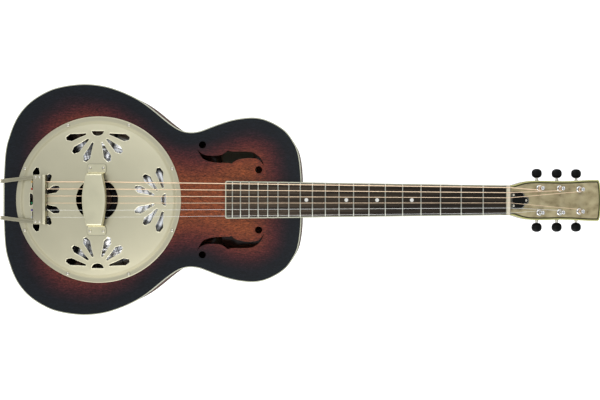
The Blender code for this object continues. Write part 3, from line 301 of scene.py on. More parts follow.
def burst(name, stops, glow, pore_scale, **sockets):
    """Lacquered mahogany that darkens to its edge, by the mesh's own distance from the edge."""
    finish = Finish(name, (0.1, 0.03, 0.01), 0.32, **sockets)
    streaks = finish.grain()
    fine = finish.noise(pore_scale, 3.0, 0.8)
    broad = finish.noise((16, 34, 34))
    wander = finish.math("SUBTRACT", broad, 0.5)
    uneven = finish.math("MULTIPLY_ADD", wander, 0.12, finish.attribute("edge", 10.0))
    figure = finish.ramp(streaks, ((0.30, 0.55), (0.50, 1.0), (0.68, glow)))
    pores = finish.ramp(fine, ((0.32, 0.20), (0.44, 0.66), (0.54, 1.0), (0.66, 1.7)))
    finish.colour(finish.times(finish.times(finish.ramp(uneven, stops), figure, 0.6), pores))
    finish.bump(finish.mix(0.5, streaks, fine), 0.00006, 0.25)
    return finish.material


def metal(name, colour, roughness, brushed=0.25, cloudy=0.86, highlight_above=None):
    """Plated or plain metal with fine brushing along X and faint blotches, with a painted highlight above a
    height.
    """
    finish = Finish(name, colour, roughness, 1.0)
    lines = finish.noise((35, 2400, 2400), 3.0, 0.6)
    cloud = finish.noise((45, 45, 45), 3.0, 0.6)
    base = finish.mix(cloud, shaded(colour, cloudy), shaded(colour, 1.06))
    # painted highlight: the colour is lifted above the height, where a rounded lip would catch the light
    if highlight_above:
        over = finish.math("MULTIPLY", finish.math("SUBTRACT", finish.along("Z"), highlight_above), 1000.0)
        base = finish.times(base, finish.ramp(over, ((0.0, 1.0), (0.8, 1.45))))
    finish.colour(base)
    finish.rough(finish.mix(0.5, lines, cloud), roughness * 0.75, roughness * 1.3)
    finish.bump(lines, 0.00003, brushed)
    return finish.material


def make_plate_metal():
    """Champagne nickel, rougher on the step, with painted light: a highlight on the cut edges, shadow round the
    hand rest's feet, shade on the step and flange.
    """
    finish = Finish("plate_nickel", (0.6, 0.56, 0.42), 0.4, 1.0)
    cloud = finish.noise((28, 28, 28), 3.0, 0.6)
    lines = finish.noise((30, 2000, 2000), 3.0, 0.6)
    base = finish.mix(cloud, (0.565, 0.53, 0.375), (0.61, 0.57, 0.41))
    # painted highlight: the colour turns bright cream within about a millimetre of the cut-outs' edges
    rim = finish.ramp(finish.attribute("rim", 500.0), ((0.0, 1.0), (0.25, 0.85), (0.5, 0.0)))
    # painted shadow: the plate's colour darkens round the hand rest's feet
    foot_shadow = finish.ramp(finish.attribute("foot", 500.0), ((0.0, 0.60), (0.35, 0.76), (1.0, 1.0)))
    out = finish.vector_math("LENGTH", finish.place((1, 1, 0)))
    # painted shade: the colour darkens over the step and the flange, and comes back up at the outer rim
    past_dome = finish.math("MULTIPLY", finish.math("SUBTRACT", out, DOME_EDGE - 8 * MM), 40.0)
    flange = finish.ramp(past_dome, ((0.26, 1.0), (0.38, 0.87), (0.74, 0.87), (0.79, 1.0)))
    finish.colour(finish.times(finish.times(finish.mix(rim, base, (0.86, 0.82, 0.62)), foot_shadow), flange))
    off_step = finish.math("ABSOLUTE", finish.math("SUBTRACT", out, (DOME_EDGE + FLANGE_INSIDE) / 2))
    dull = finish.ramp(finish.math("MULTIPLY", off_step, 200.0), ((0.42, 1.0), (0.75, 0.0)))
    fine = finish.math("MULTIPLY", finish.mix(0.5, lines, cloud), 0.4)
    finish.rough(finish.mix(dull, fine, (1.0, 1.0, 1.0)), 0.33, 0.68)
    finish.bump(lines, 0.00003, 0.1)
    return finish.material


def plastic(name, colour, roughness, tint=0.88, **sockets):
    finish = Finish(name, colour, roughness, **sockets)
    finish.colour(finish.mix(finish.noise((70, 70, 70), 4.0), shaded(colour, tint), colour))
    finish.rough(finish.noise((260, 260, 260)), roughness * 0.8, roughness * 1.3)
    finish.bump(finish.noise((900, 900, 900), 2.0), 0.00001, 0.3)
    return finish.material


def make_spun():
    """Spun aluminium: rings round the cone's axis, which is the origin's Z, with painted reflections by angle and
    a crown painted dark for shade.
    """
    finish = Finish("spun_aluminium", (0.82, 0.83, 0.85), 0.22, 1.0)
    flat_place = finish.place((1, 1, 0))
    out = finish.vector_math("LENGTH", flat_place)
    turn = finish.vector_math("NORMALIZE", flat_place)
    ring_line = finish.node("ShaderNodeCombineXYZ", {"X": out}).outputs[0]
    rings = finish.noise(ring_line, 3.0, 0.7, scale=900.0)
    coarse = finish.noise(ring_line, 2.0, scale=160.0)
    # painted reflections: streaky tone by angle round the axis, one side painted lighter, darker toward the
    # diagonals
    streaks = finish.noise(turn, 3.5, 0.6, scale=7.5)
    side = finish.vector_math("DOT_PRODUCT", turn, (0.11, 0.02, 0))
    product = finish.math("MULTIPLY", finish.along("X", turn), finish.along("Y", turn))
    between = finish.math("MULTIPLY_ADD", finish.math("POWER", product, 2.0), -0.55, 0.05)
    reflection_by_angle = finish.math("ADD", finish.math("ADD", streaks, side), between)
    tone = finish.ramp(reflection_by_angle, ((0.33, 0.05), (0.43, 0.25), (0.50, 0.75), (0.58, 1.25)), smooth=True)
    sheen = finish.mix(coarse, (0.72, 0.73, 0.76), (0.95, 0.95, 0.97))
    # painted shade: the crown under the hand rest is coloured almost black out to about 40 mm
    crown = finish.ramp(finish.math("MULTIPLY", out, 10.0), ((0.40, 0.006), (0.56, 1.0)))
    finish.colour(finish.times(finish.times(sheen, tone), crown))
    finish.rough(rings, 0.16, 0.36)
    finish.bump(finish.mix(0.5, rings, coarse), 0.0001, 0.35)
    return finish.material


def make_pearloid():
    """Cream pearl plastic with drifting flakes."""
    finish = Finish("pearloid", (0.6, 0.53, 0.34), 0.3, Coat_Weight=0.3, Coat_Roughness=0.12)
    drift = finish.node("ShaderNodeTexNoise", {"Vector": finish.place((70, 70, 70)), "Detail": 3.0})
    vector = finish.mix(0.35, finish.place((90, 130, 90)), drift.outputs["Color"])
    flakes = finish.node("ShaderNodeTexVoronoi", {"Vector": vector, "Scale": 1.6}, feature="SMOOTH_F1")
    tone = finish.mix(0.45, flakes.outputs["Distance"], finish.noise(vector, 4.0, scale=1.3))
    stops = ((0.25, (0.20, 0.157, 0.076)), (0.42, (0.285, 0.235, 0.122)), (0.62, (0.385, 0.328, 0.185)))
    finish.colour(finish.ramp(tone, stops))
    finish.rough(tone, 0.22, 0.42)
    return finish.material


def make_rosewood():
    """Rosewood with dark pores, lighter over the body than up the neck."""
    finish = Finish("rosewood", (0.04, 0.03, 0.02), 0.42, Specular_IOR_Level=0.12)
    lines = finish.noise((7, 330, 330), 5.0, 0.65)
    pores = finish.noise((130, 2300, 2300), 2.0)
    stops = ((0.30, (0.016, 0.012, 0.009)), (0.48, (0.048, 0.035, 0.024)), (0.68, (0.115, 0.085, 0.056)))
    dark = finish.ramp(pores, ((0.34, 0.45), (0.48, 1.0)))
    # lighter over the body, darker up the neck
    lighter_by_body = finish.ramp(finish.along("X"), ((0.26, 1.0), (0.46, 0.46), (0.64, 0.30)))
    finish.colour(finish.times(finish.times(finish.ramp(lines, stops), lighter_by_body), dark, 0.8))
    finish.rough(pores, 0.62, 0.38)
    finish.bump(finish.mix(0.6, lines, pores), 0.00012, 0.5)
    return finish.material


def make_wound():
    """A bronze-wrapped string: fine turns along X over the core."""
    colour = (0.90, 0.68, 0.47)
    finish = Finish("wound_bronze", colour, 0.45, 0.55)
    inputs = {"Vector": finish.place((1, 0, 0)), "Scale": 560.0}
    turns = finish.node("ShaderNodeTexWave", inputs, wave_type="BANDS").outputs["Fac"]
    # painted shade: the colour darkens where the turns dip, in the grooves between them
    finish.colour(finish.mix(turns, shaded(colour, 0.82), colour))
    finish.rough(turns, 0.5, 0.4)
    finish.bump(turns, 0.00006, 0.3)
    return finish.material


def make_paper():
    finish = Finish("paper", (0.6, 0.55, 0.42), 0.85)
    finish.colour(finish.mix(finish.noise((28, 28, 28), 2.0), (0.20, 0.17, 0.11), (0.30, 0.27, 0.19)))
    finish.bump(finish.noise((300, 300, 300), 5.0), 0.00006, 0.5)
    return finish.material


def make_plywood():
    finish = Finish("plywood", (0.3, 0.18, 0.09), 0.7)
    inputs = {"Vector": finish.place((0, 0, 1)), "Scale": 220.0}
    plies = finish.node("ShaderNodeTexWave", inputs).outputs["Fac"]
    finish.colour(finish.mix(finish.math("MULTIPLY", plies, 0.5), (0.17, 0.09, 0.045), (0.32, 0.2, 0.1)))
    finish.bump(finish.noise((60, 60, 900), 4.0), 0.0002, 0.5)
    return finish.material


NICKEL = metal("nickel", (0.62, 0.575, 0.435), 0.40, brushed=0.1, cloudy=0.93)
CHROME = metal("chrome", (0.66, 0.66, 0.65), 0.16, brushed=0.08)
STEEL = metal("steel", (0.66, 0.66, 0.65), 0.26)
FRET_METAL = metal("fret_nickel_silver", (0.50, 0.50, 0.43), 0.34)
BRASS = metal("brass", (0.72, 0.5, 0.2), 0.26)
TUNER_METAL = metal("tuner_nickel", (0.46, 0.44, 0.38), 0.3)
SCREW_METAL = metal("screw_nickel", (0.60, 0.57, 0.48), 0.27, brushed=0.1)
REST_METAL = metal("rest_nickel", (0.70, 0.66, 0.465), 0.36, brushed=0.15, cloudy=0.92)
# the tailpiece's lip gets a painted highlight above the channel's top
TAIL_METAL = metal("tailpiece_nickel", (0.44, 0.41, 0.295), 0.36, highlight_above=CHANNEL_TOP + 0.8 * MM)
# The ball ends, from the sixth string to the first.
BALL_METALS = (
    BRASS, metal("ball_red", (0.52, 0.03, 0.03), 0.34), metal("ball_black", (0.02, 0.02, 0.022), 0.34),
    metal("ball_green", (0.02, 0.28, 0.12), 0.34), metal("ball_purple", (0.16, 0.1, 0.42), 0.34), STEEL,
)
HEAD_CREAM = plastic("headstock_binding", (0.42, 0.41, 0.15), 0.36, 0.92, Coat_Weight=0.2, Coat_Roughness=0.1)
CREAM = plastic("cream_binding", (0.45, 0.45, 0.34), 0.34, 0.93, Coat_Weight=0.12, Coat_Roughness=0.1)
DARK_OLIVE = plastic("dark_olive_line", (0.045, 0.043, 0.018), 0.4, 0.85, Specular_IOR_Level=0.2)
BONE = plastic("bone", (0.57, 0.515, 0.39), 0.38, 0.9)
BLACK = plastic("black_plastic", (0.003, 0.0035, 0.003), 0.3, 0.7, Specular_IOR_Level=0.14)
WHITE = plastic("white_plastic", (0.42, 0.42, 0.36), 0.35, 0.95)
PEARL = plastic("pearl_dot", (0.78, 0.77, 0.72), 0.2, 0.72, Coat_Weight=0.8, Coat_Roughness=0.05)
PLAIN_WIRE = plastic("plain_wire", (0.86, 0.87, 0.84), 0.3, 0.95, Metallic=0.5)
MAHOGANY = wood("mahogany", (0.035, 0.011, 0.006), (0.115, 0.04, 0.018), 0.3, **LACQUER)
NECK_WOOD = wood("neck_mahogany", (0.030, 0.010, 0.006), (0.085, 0.028, 0.013), 0.34, **LACQUER)
RAW_MAHOGANY = wood("raw_mahogany", (0.10, 0.038, 0.018), (0.23, 0.10, 0.048), 0.7)
# painted shade: spruce darkened for the shadowed inside of the body
SHADE_DARK_SPRUCE = wood("spruce", (0.05, 0.026, 0.013), (0.11, 0.06, 0.03), 0.7, Specular_IOR_Level=0.1)
MAPLE = wood("maple", (0.40, 0.24, 0.11), (0.60, 0.42, 0.22), 0.5)
# painted shade: maple coloured almost black for the biscuit and saddle, which sit in shadow under the plate
SHADE_DARK_MAPLE = wood(
    "maple_dark_for_shade", (0.008, 0.004, 0.003), (0.022, 0.011, 0.007), 0.55, Specular_IOR_Level=0.1
)
BURST_TOP = burst("burst_top", TOP_STOPS, 1.4, FLAT_GRAIN, **LACQUER)
BURST_BACK = burst("burst_back", BACK_STOPS, 1.35, LONG_GRAIN, **LACQUER)
BURST_SIDE = burst("burst_side", BACK_STOPS, 1.35, LONG_GRAIN, **SATIN)
SPUN = make_spun()
PEARLOID = make_pearloid()
PLATE_METAL = make_plate_metal()
ROSEWOOD = make_rosewood()
BRONZE = make_wound()
PAPER = make_paper()
PLYWOOD = make_plywood()

# ---------------------------------------------------------------- pieces


def keep(name, shape, material, body="guitar", replaces=(), slot=None, sharp=38, weighted=False):
    """A new piece from a bmesh or a mesh, riding on a body."""
    if isinstance(shape, bmesh.types.BMesh):
        mesh = bpy.data.meshes.new(name)
        shape.to_mesh(mesh)
        shape.free()
    else:
        mesh = shape
    mesh.materials.append(material)
    mesh.shade_smooth()
    mesh.set_sharp_from_angle(angle=math.radians(sharp))
    made = new_object(name, mesh)
    if weighted:
        modifier = made.modifiers.new("normals", "WEIGHTED_NORMAL")
        modifier.keep_sharp = True
    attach(made, body)
    if replaces:
        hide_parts(*replaces)
    return made


def face_loops(node, level):
    """The closed outlines of a CAD node's flat face at a height, the outer one first."""
    mesh = nodes[node].data
    spot = [(round(v.co.x, 6), round(v.co.y, 6)) for v in mesh.vertices]
    flat = [abs(v.co.z - level) < 2e-5 for v in mesh.vertices]
    edges = set()
    for face in mesh.polygons:
        ring = list(face.vertices)
        if all(flat[i] for i in ring):
            edges.update((spot[a], spot[b]) for a, b in zip(ring, ring[1:] + ring[:1]) if spot[a] != spot[b])
    follow = {a: b for a, b in edges if (b, a) not in edges}
    loops = []
    while follow:
        start, point = next(iter(follow.items()))
        loop = [start]
        del follow[start]
        while point != start and point in follow:
            loop.append(point)
            point = follow.pop(point)
        loops.append(loop)
    loops.sort(key=lambda loop: -abs(area_of(loop)))
    return loops


def area_of(loop):
    return sum(a[0] * b[1] - b[0] * a[1] for a, b in zip(loop, loop[1:] + loop[:1])) / 2


def turned_ways(loops):
    """The loops with the outer one anticlockwise and the holes clockwise: the piece is on their left."""
    made = []
    for number, loop in enumerate(loops):
        ahead = area_of(loop) > 0
        made.append(list(loop) if ahead == (number == 0) else list(loop)[::-1])
    return made


def refined(loop, steps=4, corner=42):
    """The smooth curve through a closed outline's points. Where it turns sharply it keeps its corner."""
    points = [Vector(point) for point in loop]
    count = len(points)
    limit = math.cos(math.radians(corner))

    def is_corner(i):
        one = (points[i] - points[i - 1]).normalized()
        two = (points[(i + 1) % count] - points[i]).normalized()
        return one.dot(two) < limit

    corners = [is_corner(i) for i in range(count)]
    made = []
    for i in range(count):
        j = (i + 1) % count
        before = points[i] if corners[i] else points[i - 1]
        after = points[j] if corners[j] else points[(j + 1) % count]
        made.extend(tuple(curve_point(before, points[i], points[j], after, k / steps)) for k in range(steps))
    return made


def curve_point(a, b, c, d, part):
    """A point between b and c on the smooth curve through a, b, c and d."""
    bend = (2 * a - 5 * b + 4 * c - d) * part**2
    return 0.5 * (2 * b + (c - a) * part + bend + (3 * b - a - 3 * c + d) * part**3)


def smooth_path(points, steps):
    """The smooth curve through points, ends included."""
    line = [Vector(point) for point in points]
    line = [line[0] * 2 - line[1], *line, line[-1] * 2 - line[-2]]
    made = []
    for i in range(1, len(line) - 2):
        made.extend(curve_point(*line[i - 1 : i + 3], k / steps) for k in range(steps))
    return [*made, line[-2]]


def moved_left(loop, distance):
    """A closed outline moved to its left, into the piece."""
    count = len(loop)
    made = []
    for i in range(count):
        point = Vector(loop[i])
        one = (point - Vector(loop[i - 1])).normalized()
        two = (Vector(loop[(i + 1) % count]) - point).normalized()
        across = Vector((-one.y - two.y, one.x + two.x))
        if across.length < 1e-9:
            across = Vector((-one.y, one.x))
        across.normalize()
        reach = distance / max(0.45, across.dot(Vector((-one.y, one.x))))
        made.append(tuple(point + across * reach))
    return made


def in_mm(points):
    """Points given in millimetres, in metres."""
    return [tuple(value * MM for value in point) for point in points]


def mirrored(half):
    """A line that ends on the X axis, followed by its mirror image on the way back."""
    return [*half, *((x, -y) for x, y in reversed(half[:-1]))]


def quarter_turn(parts):
    """Angles from 0 to a right angle, ends included."""
    return [math.pi / 2 * k / parts for k in range(parts + 1)]


def rectangle(x0, y0, x1, y1):
    return [(x0, y0), (x1, y0), (x1, y1), (x0, y1)]


def circle(x, y, radius, sides=24):
    turns = [math.tau * i / sides for i in range(sides)]
    return [(x + radius * math.cos(t), y + radius * math.sin(t)) for t in turns]


def filled(loops, inner=()):
    """Triangles that fill the outlines, with more points inside: (points, triangles)."""
    points, edges = [], []
    for loop in loops:
        first = len(points)
        points.extend(Vector(point) for point in loop)
        edges.extend((first + i, first + (i + 1) % len(loop)) for i in range(len(loop)))
    points.extend(Vector(point) for point in inner)
    made = geometry.delaunay_2d_cdt(points, edges, [], 1, 1e-7)
    spots = np.array([tuple(point) for point in made[0]])
    triangles = np.array(made[2])
    middles = spots[triangles].mean(axis=1)
    wanted = is_inside(middles, loops)
    return made[0], [tuple(int(i) for i in triangle) for triangle in triangles[wanted]]


def is_inside(spots, loops):
    """Whether each spot has an odd number of outline crossings on one side of it."""
    odd = np.zeros(len(spots), bool)
    for loop in loops:
        line = np.array(loop, float)
        for (ax, ay), (bx, by) in zip(line, np.roll(line, -1, axis=0)):
            spans = (spots[:, 1] < ay) != (spots[:, 1] < by)
            if spans.any():
                cross = ax + (spots[:, 1] - ay) * (bx - ax) / (by - ay) if by != ay else ax
                odd ^= spans & (spots[:, 0] < cross)
    return odd


def edge_tree(loops, spacing=0.0015):
    """A search tree of points along the outlines."""
    spots = []
    for loop in loops:
        for a, b in zip(loop, loop[1:] + loop[:1]):
            one, two = Vector(a), Vector(b)
            steps = max(1, math.ceil((two - one).length / spacing))
            spots.extend(one.lerp(two, k / steps) for k in range(steps))
    tree = kdtree.KDTree(len(spots))
    for number, spot in enumerate(spots):
        tree.insert((spot.x, spot.y, 0), number)
    tree.balance()
    return tree


def grid_points(loops, cell, tree):
    """Points on a grid over the outer loop's box, none close to an outline."""
    xs = [x for x, _ in loops[0]]
    ys = [y for _, y in loops[0]]
    made = []
    for i in range(int((max(xs) - min(xs)) / cell) + 1):
        for j in range(int((max(ys) - min(ys)) / cell) + 1):
            spot = (min(xs) + (i + 0.5 * (j % 2)) * cell, min(ys) + j * cell)
            if tree.find((*spot, 0))[2] > 0.6 * cell:
                made.append(spot)
    return made


def bridge(shape, rings, closed=True):
    """Faces between rings of vertices that have the same count."""
    count = len(rings[0])
    for one, two in zip(rings, rings[1:]):
        for i in range(count if closed else count - 1):
            j = (i + 1) % count
            shape.faces.new((one[i], one[j], two[j], two[i]))


def slab(loops, low, high, edge=0.4 * MM, cell=None, rounds=2):
    """A bmesh of a flat piece between two heights, its outer and inner edges rounded."""
    loops = turned_ways(loops)
    rim = [(edge * (1 - math.cos(t)), edge * (1 - math.sin(t))) for t in quarter_turn(rounds)]
    levels = [(inset, low + drop) for inset, drop in reversed(rim)]
    levels += [(inset, high - drop) for inset, drop in rim]
    shape = bmesh.new()
    for loop in loops:
        rings = []
        for inset, height in levels:
            line = moved_left(loop, inset) if inset else loop
            rings.append([shape.verts.new((x, y, height)) for x, y in line])
        bridge(shape, rings)
    inner_loops = [moved_left(loop, edge) for loop in loops]
    inner = grid_points(inner_loops, cell, edge_tree(inner_loops)) if cell else ()
    points, triangles = filled(inner_loops, inner)
    for height, flip in ((high, False), (low, True)):
        made = [shape.verts.new((*point, height)) for point in points]
        for triangle in triangles:
            corners = [made[i] for i in triangle]
            shape.faces.new(corners[::-1] if flip else corners)
    bmesh.ops.remove_doubles(shape, verts=shape.verts, dist=2e-6)
    return closed_up(shape)


def closed_up(shape):
    """The bmesh without loose points, its faces looking outward."""
    bmesh.ops.delete(shape, geom=[v for v in shape.verts if not v.link_faces], context="VERTS")
    bmesh.ops.recalc_face_normals(shape, faces=shape.faces)
    return shape


def lathe(profile, steps=32, closed=False):
    """A bmesh of a profile of (radius, height) turned round Z."""
    shape = bmesh.new()
    rings = []
    for radius, height in profile:
        if radius < 1e-7:
            rings.append([shape.verts.new((0, 0, height))])
            continue
        turns = [math.tau * i / steps for i in range(steps)]
        rings.append([shape.verts.new((radius * math.cos(t), radius * math.sin(t), height)) for t in turns])
    pairs = list(zip(rings, rings[1:]))
    if closed:
        pairs.append((rings[-1], rings[0]))
    for one, two in pairs:
        for i in range(steps):
            j = (i + 1) % steps
            corners = [one[i % len(one)], one[j % len(one)], two[j % len(two)], two[i % len(two)]]
            shape.faces.new(list(dict.fromkeys(corners)))
    bmesh.ops.recalc_face_normals(shape, faces=shape.faces)
    return shape


def lathe_mm(profile, steps=32, closed=False):
    """The same from a profile in millimetres."""
    return lathe(in_mm(profile), steps, closed)


def rounded_corner(before, here, after, radius, parts):
    """The points that go round a corner, at these parts of the way."""
    a, b, c = Vector(before), Vector(here), Vector(after)
    reach = min(radius, (a - b).length / 2.2, (c - b).length / 2.2)
    one, two = b + (a - b).normalized() * reach, b + (c - b).normalized() * reach
    return [tuple(one * (1 - t) ** 2 + b * 2 * t * (1 - t) + two * t * t) for t in parts]


def rounded_line(points, radius):
    """An open line with its inner corners rounded."""
    made = [points[0]]
    for before, here, after in zip(points, points[1:], points[2:]):
        made.extend(rounded_corner(before, here, after, radius, (0, 0.25, 0.5, 0.75, 1)))
    return [*made, points[-1]]


def softened(loop, radius):
    """A closed outline with its corners rounded."""
    made = []
    for i, here in enumerate(loop):
        after = loop[(i + 1) % len(loop)]
        made.extend(rounded_corner(loop[i - 1], here, after, radius, (0, 0.33, 0.67, 1)))
    return made


def loft(rings):
    """A closed bmesh through rings of points with the same count."""
    shape = bmesh.new()
    lines = [[shape.verts.new(point) for point in ring] for ring in rings]
    bridge(shape, lines)
    shape.faces.new(lines[0])
    shape.faces.new(lines[-1])
    bmesh.ops.recalc_face_normals(shape, faces=shape.faces)
    return shape


def tube(name, points, radius, material, body="guitar", **ways):
    """A round wire through the points, as a mesh."""
    curve = bpy.data.curves.new(name, "CURVE")
    curve.dimensions = "3D"
    curve.bevel_depth = radius
    curve.bevel_resolution = 4
    curve.use_fill_caps = True
    spline = curve.splines.new("POLY")
    spline.points.add(len(points) - 1)
    for spot, point in zip(spline.points, points):
        spot.co = (*point, 1)
    guide = new_object(name + "_guide", curve)
    bpy.context.view_layer.update()
    mesh = bpy.data.meshes.new_from_object(guide.evaluated_get(bpy.context.evaluated_depsgraph_get()))
    bpy.data.objects.remove(guide, do_unlink=True)
    return keep(name, mesh, material, body, **ways)


def joined(shapes):
    """One bmesh from several."""
    made = bmesh.new()
    for shape in shapes:
        mesh = bpy.data.meshes.new("part")
        shape.to_mesh(mesh)
        shape.free()
        made.from_mesh(mesh)
        bpy.data.meshes.remove(mesh)
    return made


def placed(shape, matrix):
    bmesh.ops.transform(shape, matrix=matrix, verts=shape.verts)
    return shape


def cut_away(made, cutters):
    """Cuts closed bmeshes from a piece and removes the cutters."""
    mesh = bpy.data.meshes.new("cutter")
    tool = joined(cutters)
    tool.to_mesh(mesh)
    tool.free()
    helper = new_object("cutter", mesh)
    modifier = made.modifiers.new("cut", "BOOLEAN")
    modifier.operation = "DIFFERENCE"
    modifier.object = helper
    bpy.context.view_layer.update()
    graph = bpy.context.evaluated_depsgraph_get()
    result = bpy.data.meshes.new_from_object(made.evaluated_get(graph))
    made.modifiers.remove(modifier)
    made.data = result
    bpy.data.objects.remove(helper, do_unlink=True)


def bar(radius, start, end, sides):
    start, end = Vector(start), Vector(end)
    shape = bmesh.new()
    length = (end - start).length
    bmesh.ops.create_cone(shape, cap_ends=True, segments=sides, radius1=radius, radius2=radius, depth=length)
    turn = (end - start).to_track_quat("Z", "Y").to_matrix().to_4x4()
    return placed(shape, Matrix.Translation((start + end) / 2) @ turn)


def block(low, high):
    shape = bmesh.new()
    bmesh.ops.create_cube(shape, size=1)
    low, high = Vector(low), Vector(high)
    bmesh.ops.scale(shape, vec=high - low, verts=shape.verts)
    bmesh.ops.translate(shape, vec=(low + high) / 2, verts=shape.verts)
    return shape


# ---------------------------------------------------------------- body


SIDE_THICK = 2.5 * MM


def darker_tail(x):
    """The share of the distance that the burst goes by: less behind the cover plate."""
    return 1 - 0.32 * min(1, max(0, (-0.03 - x) / 0.10))


def write_values(made, name, values):
    """One value for each point of the mesh, for its finish."""
    attribute = made.data.attributes.new(name, "FLOAT", "POINT")
    attribute.data.foreach_set("value", np.array(values, np.float32))


def write_distance(made, name, tree, share=lambda x: 1):
    """The mesh's distance from outlines, seen from above."""
    points = [vertex.co for vertex in made.data.vertices]
    write_values(made, name, [tree.find((p.x, p.y, 0))[2] * share(p.x) for p in points])


def make_body():
    loops = [refined(loop) for loop in face_loops("body_top", TOP_Z)]
    outline = refined(face_loops("top_binding", TOP_Z)[0])
    outline = turned_ways([outline])[0]
    tree = edge_tree([outline])
    wood_edge = moved_left(outline, BINDING_WIDE)

    holes = loops[1:]
    top = keep(
        "lacquered_top",
        slab([wood_edge, *holes], TOP_UNDER, TOP_Z, edge=0.35 * MM, cell=5 * MM),
        BURST_TOP,
        replaces=("body_top",),
        slot="sunburst_lacquer",
        weighted=True,
    )
    write_distance(top, "edge", tree, darker_tail)
    back = keep(
        "lacquered_back",
        slab([wood_edge], BACK_Z, BACK_INSIDE, edge=0.2 * MM, cell=6 * MM),
        BURST_BACK,
        replaces=("body_back",),
        slot="mahogany",
        weighted=True,
    )
    write_distance(back, "edge", tree)

    inner_edge = moved_left(outline, BINDING_WIDE + 0.02 * MM)[::-1]
    for name, node, low, high in (
        ("bound_top_edge", "top_binding", TOP_Z - BINDING_DEEP, TOP_Z),
        ("bound_back_edge", "back_binding", BACK_Z + 0.2 * MM, BACK_Z + BINDING_DEEP),
    ):
        ring = slab([outline, inner_edge], low, high, edge=0.5 * MM, rounds=3)
        keep(name, ring, CREAM, replaces=(node,), slot="cream_binding", weighted=True)

    wall_low, wall_high = BACK_Z + BINDING_DEEP, TOP_Z - BINDING_DEEP
    outside, inside = (moved_left(outline, inset) for inset in (0.05 * MM, SIDE_THICK))
    levels = [(outside, wall_low + (wall_high - wall_low) * k / 8) for k in range(9)]
    levels += [(inside, wall_high), (inside, wall_low)]
    shape = bmesh.new()
    rings = [[shape.verts.new((x, y, height)) for x, y in line] for line, height in levels]
    bridge(shape, [*rings, rings[0]])
    bmesh.ops.recalc_face_normals(shape, faces=shape.faces)
    sides = keep("bent_sides", shape, BURST_SIDE, replaces=("body_sides",), slot="mahogany")
    heights = [min(v.co.z - wall_low, wall_high - v.co.z) for v in sides.data.vertices]
    write_values(sides, "edge", [height * 1.1 for height in heights])


LABEL_MIDDLE = Vector((0.212, 0.070))
LABEL_HALF = Vector((30 * MM, 24 * MM))


def label_outline(share):
    low, high = LABEL_MIDDLE - LABEL_HALF * share, LABEL_MIDDLE + LABEL_HALF * share
    return rectangle(*low, *high)


def make_label():
    """A blank paper label with a plain ruled border, glued inside the back under the bass f-hole."""
    paper_top = BACK_INSIDE + 0.3 * MM
    paper = slab([label_outline(1)], BACK_INSIDE + 0.05 * MM, paper_top, edge=0.05 * MM, cell=6 * MM)
    keep("label_paper", paper, PAPER)
    border = [label_outline(0.9), label_outline(0.846)]
    rule = slab(border, paper_top, BACK_INSIDE + 0.34 * MM, edge=0.01 * MM)
    keep("label_rule", rule, RAW_MAHOGANY)


# ---------------------------------------------------------------- small fittings


def screw_shape(radius, height, turn, slots):
    """A round-headed screw on the XY plane, with a cross or a single slot in its head."""
    dome = [(radius * math.sin(t), height * math.cos(t)) for t in quarter_turn(6)]
    head = lathe([*dome, (radius, -0.25 * MM), (0, -0.25 * MM)], 24)
    helper = keep("screw_blank", head, STEEL)
    for k in range(slots):
        wide, long = 0.14 * radius, (0.62 if slots == 2 else 1.2) * radius
        groove = block((-long, -wide, (0.45 - 0.02 * k) * height), (long, wide, (2 + k) * height))
        cut_away(helper, [placed(groove, Matrix.Rotation(turn + k * math.pi / 2, 4, "Z"))])
    shape = bmesh.new()
    shape.from_mesh(helper.data)
    bpy.data.objects.remove(helper, do_unlink=True)
    return shape


def screws(name, places, radius, height, material, slot, body="guitar", slots=2, replaces=()):
    """Screw heads in one piece. Each place is a matrix whose Z points out of the surface."""
    shapes = []
    for number, place in enumerate(places):
        shapes.append(placed(screw_shape(radius, height, 0.7 + 1.3 * number, slots), place))
    return keep(name, joined(shapes), material, body, slot=slot, replaces=replaces)


def at(x, y, z):
    return Matrix.Translation((x, y, z))


# ---------------------------------------------------------------- cone, cover plate and hand rest

FLANGE_TOP = PLATE_LOW + PLATE_THICK
PLATE_HOLE = 33 * MM
DOME_EDGE_Z = TOP_Z + 3.1 * MM
SCREW_CIRCLE = 126.2 * MM
PETAL_FOCUS = 107 * MM
PETAL_ANGLES = (13, 41, 68)
PETAL_MM = ((19, 1.3), (31, 3.2), (43.4, 5.9), (51.2, 2.4))
MOON_RADIUS, MOON_DEEP = 9.6 * MM, 7.7 * MM
PLATE_SIDES = 400
# Where the plate has rings of points: coarse over the dome, and fine over the step and the flange.
DOME_RINGS_MM = (34.5, 37, *range(40, 111, 5), 114, 117)
STEP_RINGS_MM = (117.8, 118.6, 119.4, 120.2, 121.0, 121.8, 122.6, 123.4, 124.2, 126, 128.6, 129.8, 130.2)
BEAD_REACH = 0.9 * MM
BEAD_HIGH = 0.12 * MM


def make_cone():
    """The spun cone: a crown under the biscuit, a sloping skirt with pressed rings and a flat rim."""
    low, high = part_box("resonator_cone")
    rim_z, crown_z = low.z + 0.6 * MM, high.z
    rim, skirt, crown = high.x, high.x - 8 * MM, 27 * MM
    upper = [(2.5 * MM, crown_z), (crown - 4 * MM, crown_z), (crown - 1.5 * MM, crown_z - 0.3 * MM)]
    for k in range(61):
        part = k / 60
        radius = crown + (skirt - crown) * part
        height = crown_z - 1.0 * MM - (crown_z - 1.0 * MM - rim_z) * part
        ring = 0.25 * MM * math.sin(part * math.tau * 9) * min(1, 4 * part, 6 * (1 - part))
        upper.append((radius, height + ring))
    upper += [(rim - 0.5 * MM, rim_z), (rim, rim_z - 0.25 * MM)]
    lower = [(radius, height - 0.6 * MM) for radius, height in reversed(upper)]
    keep(
        "spun_cone",
        lathe(upper + lower, 128, closed=True),
        SPUN,
        replaces=("resonator_cone",),
        slot="spun_aluminium",
        sharp=50,
    )


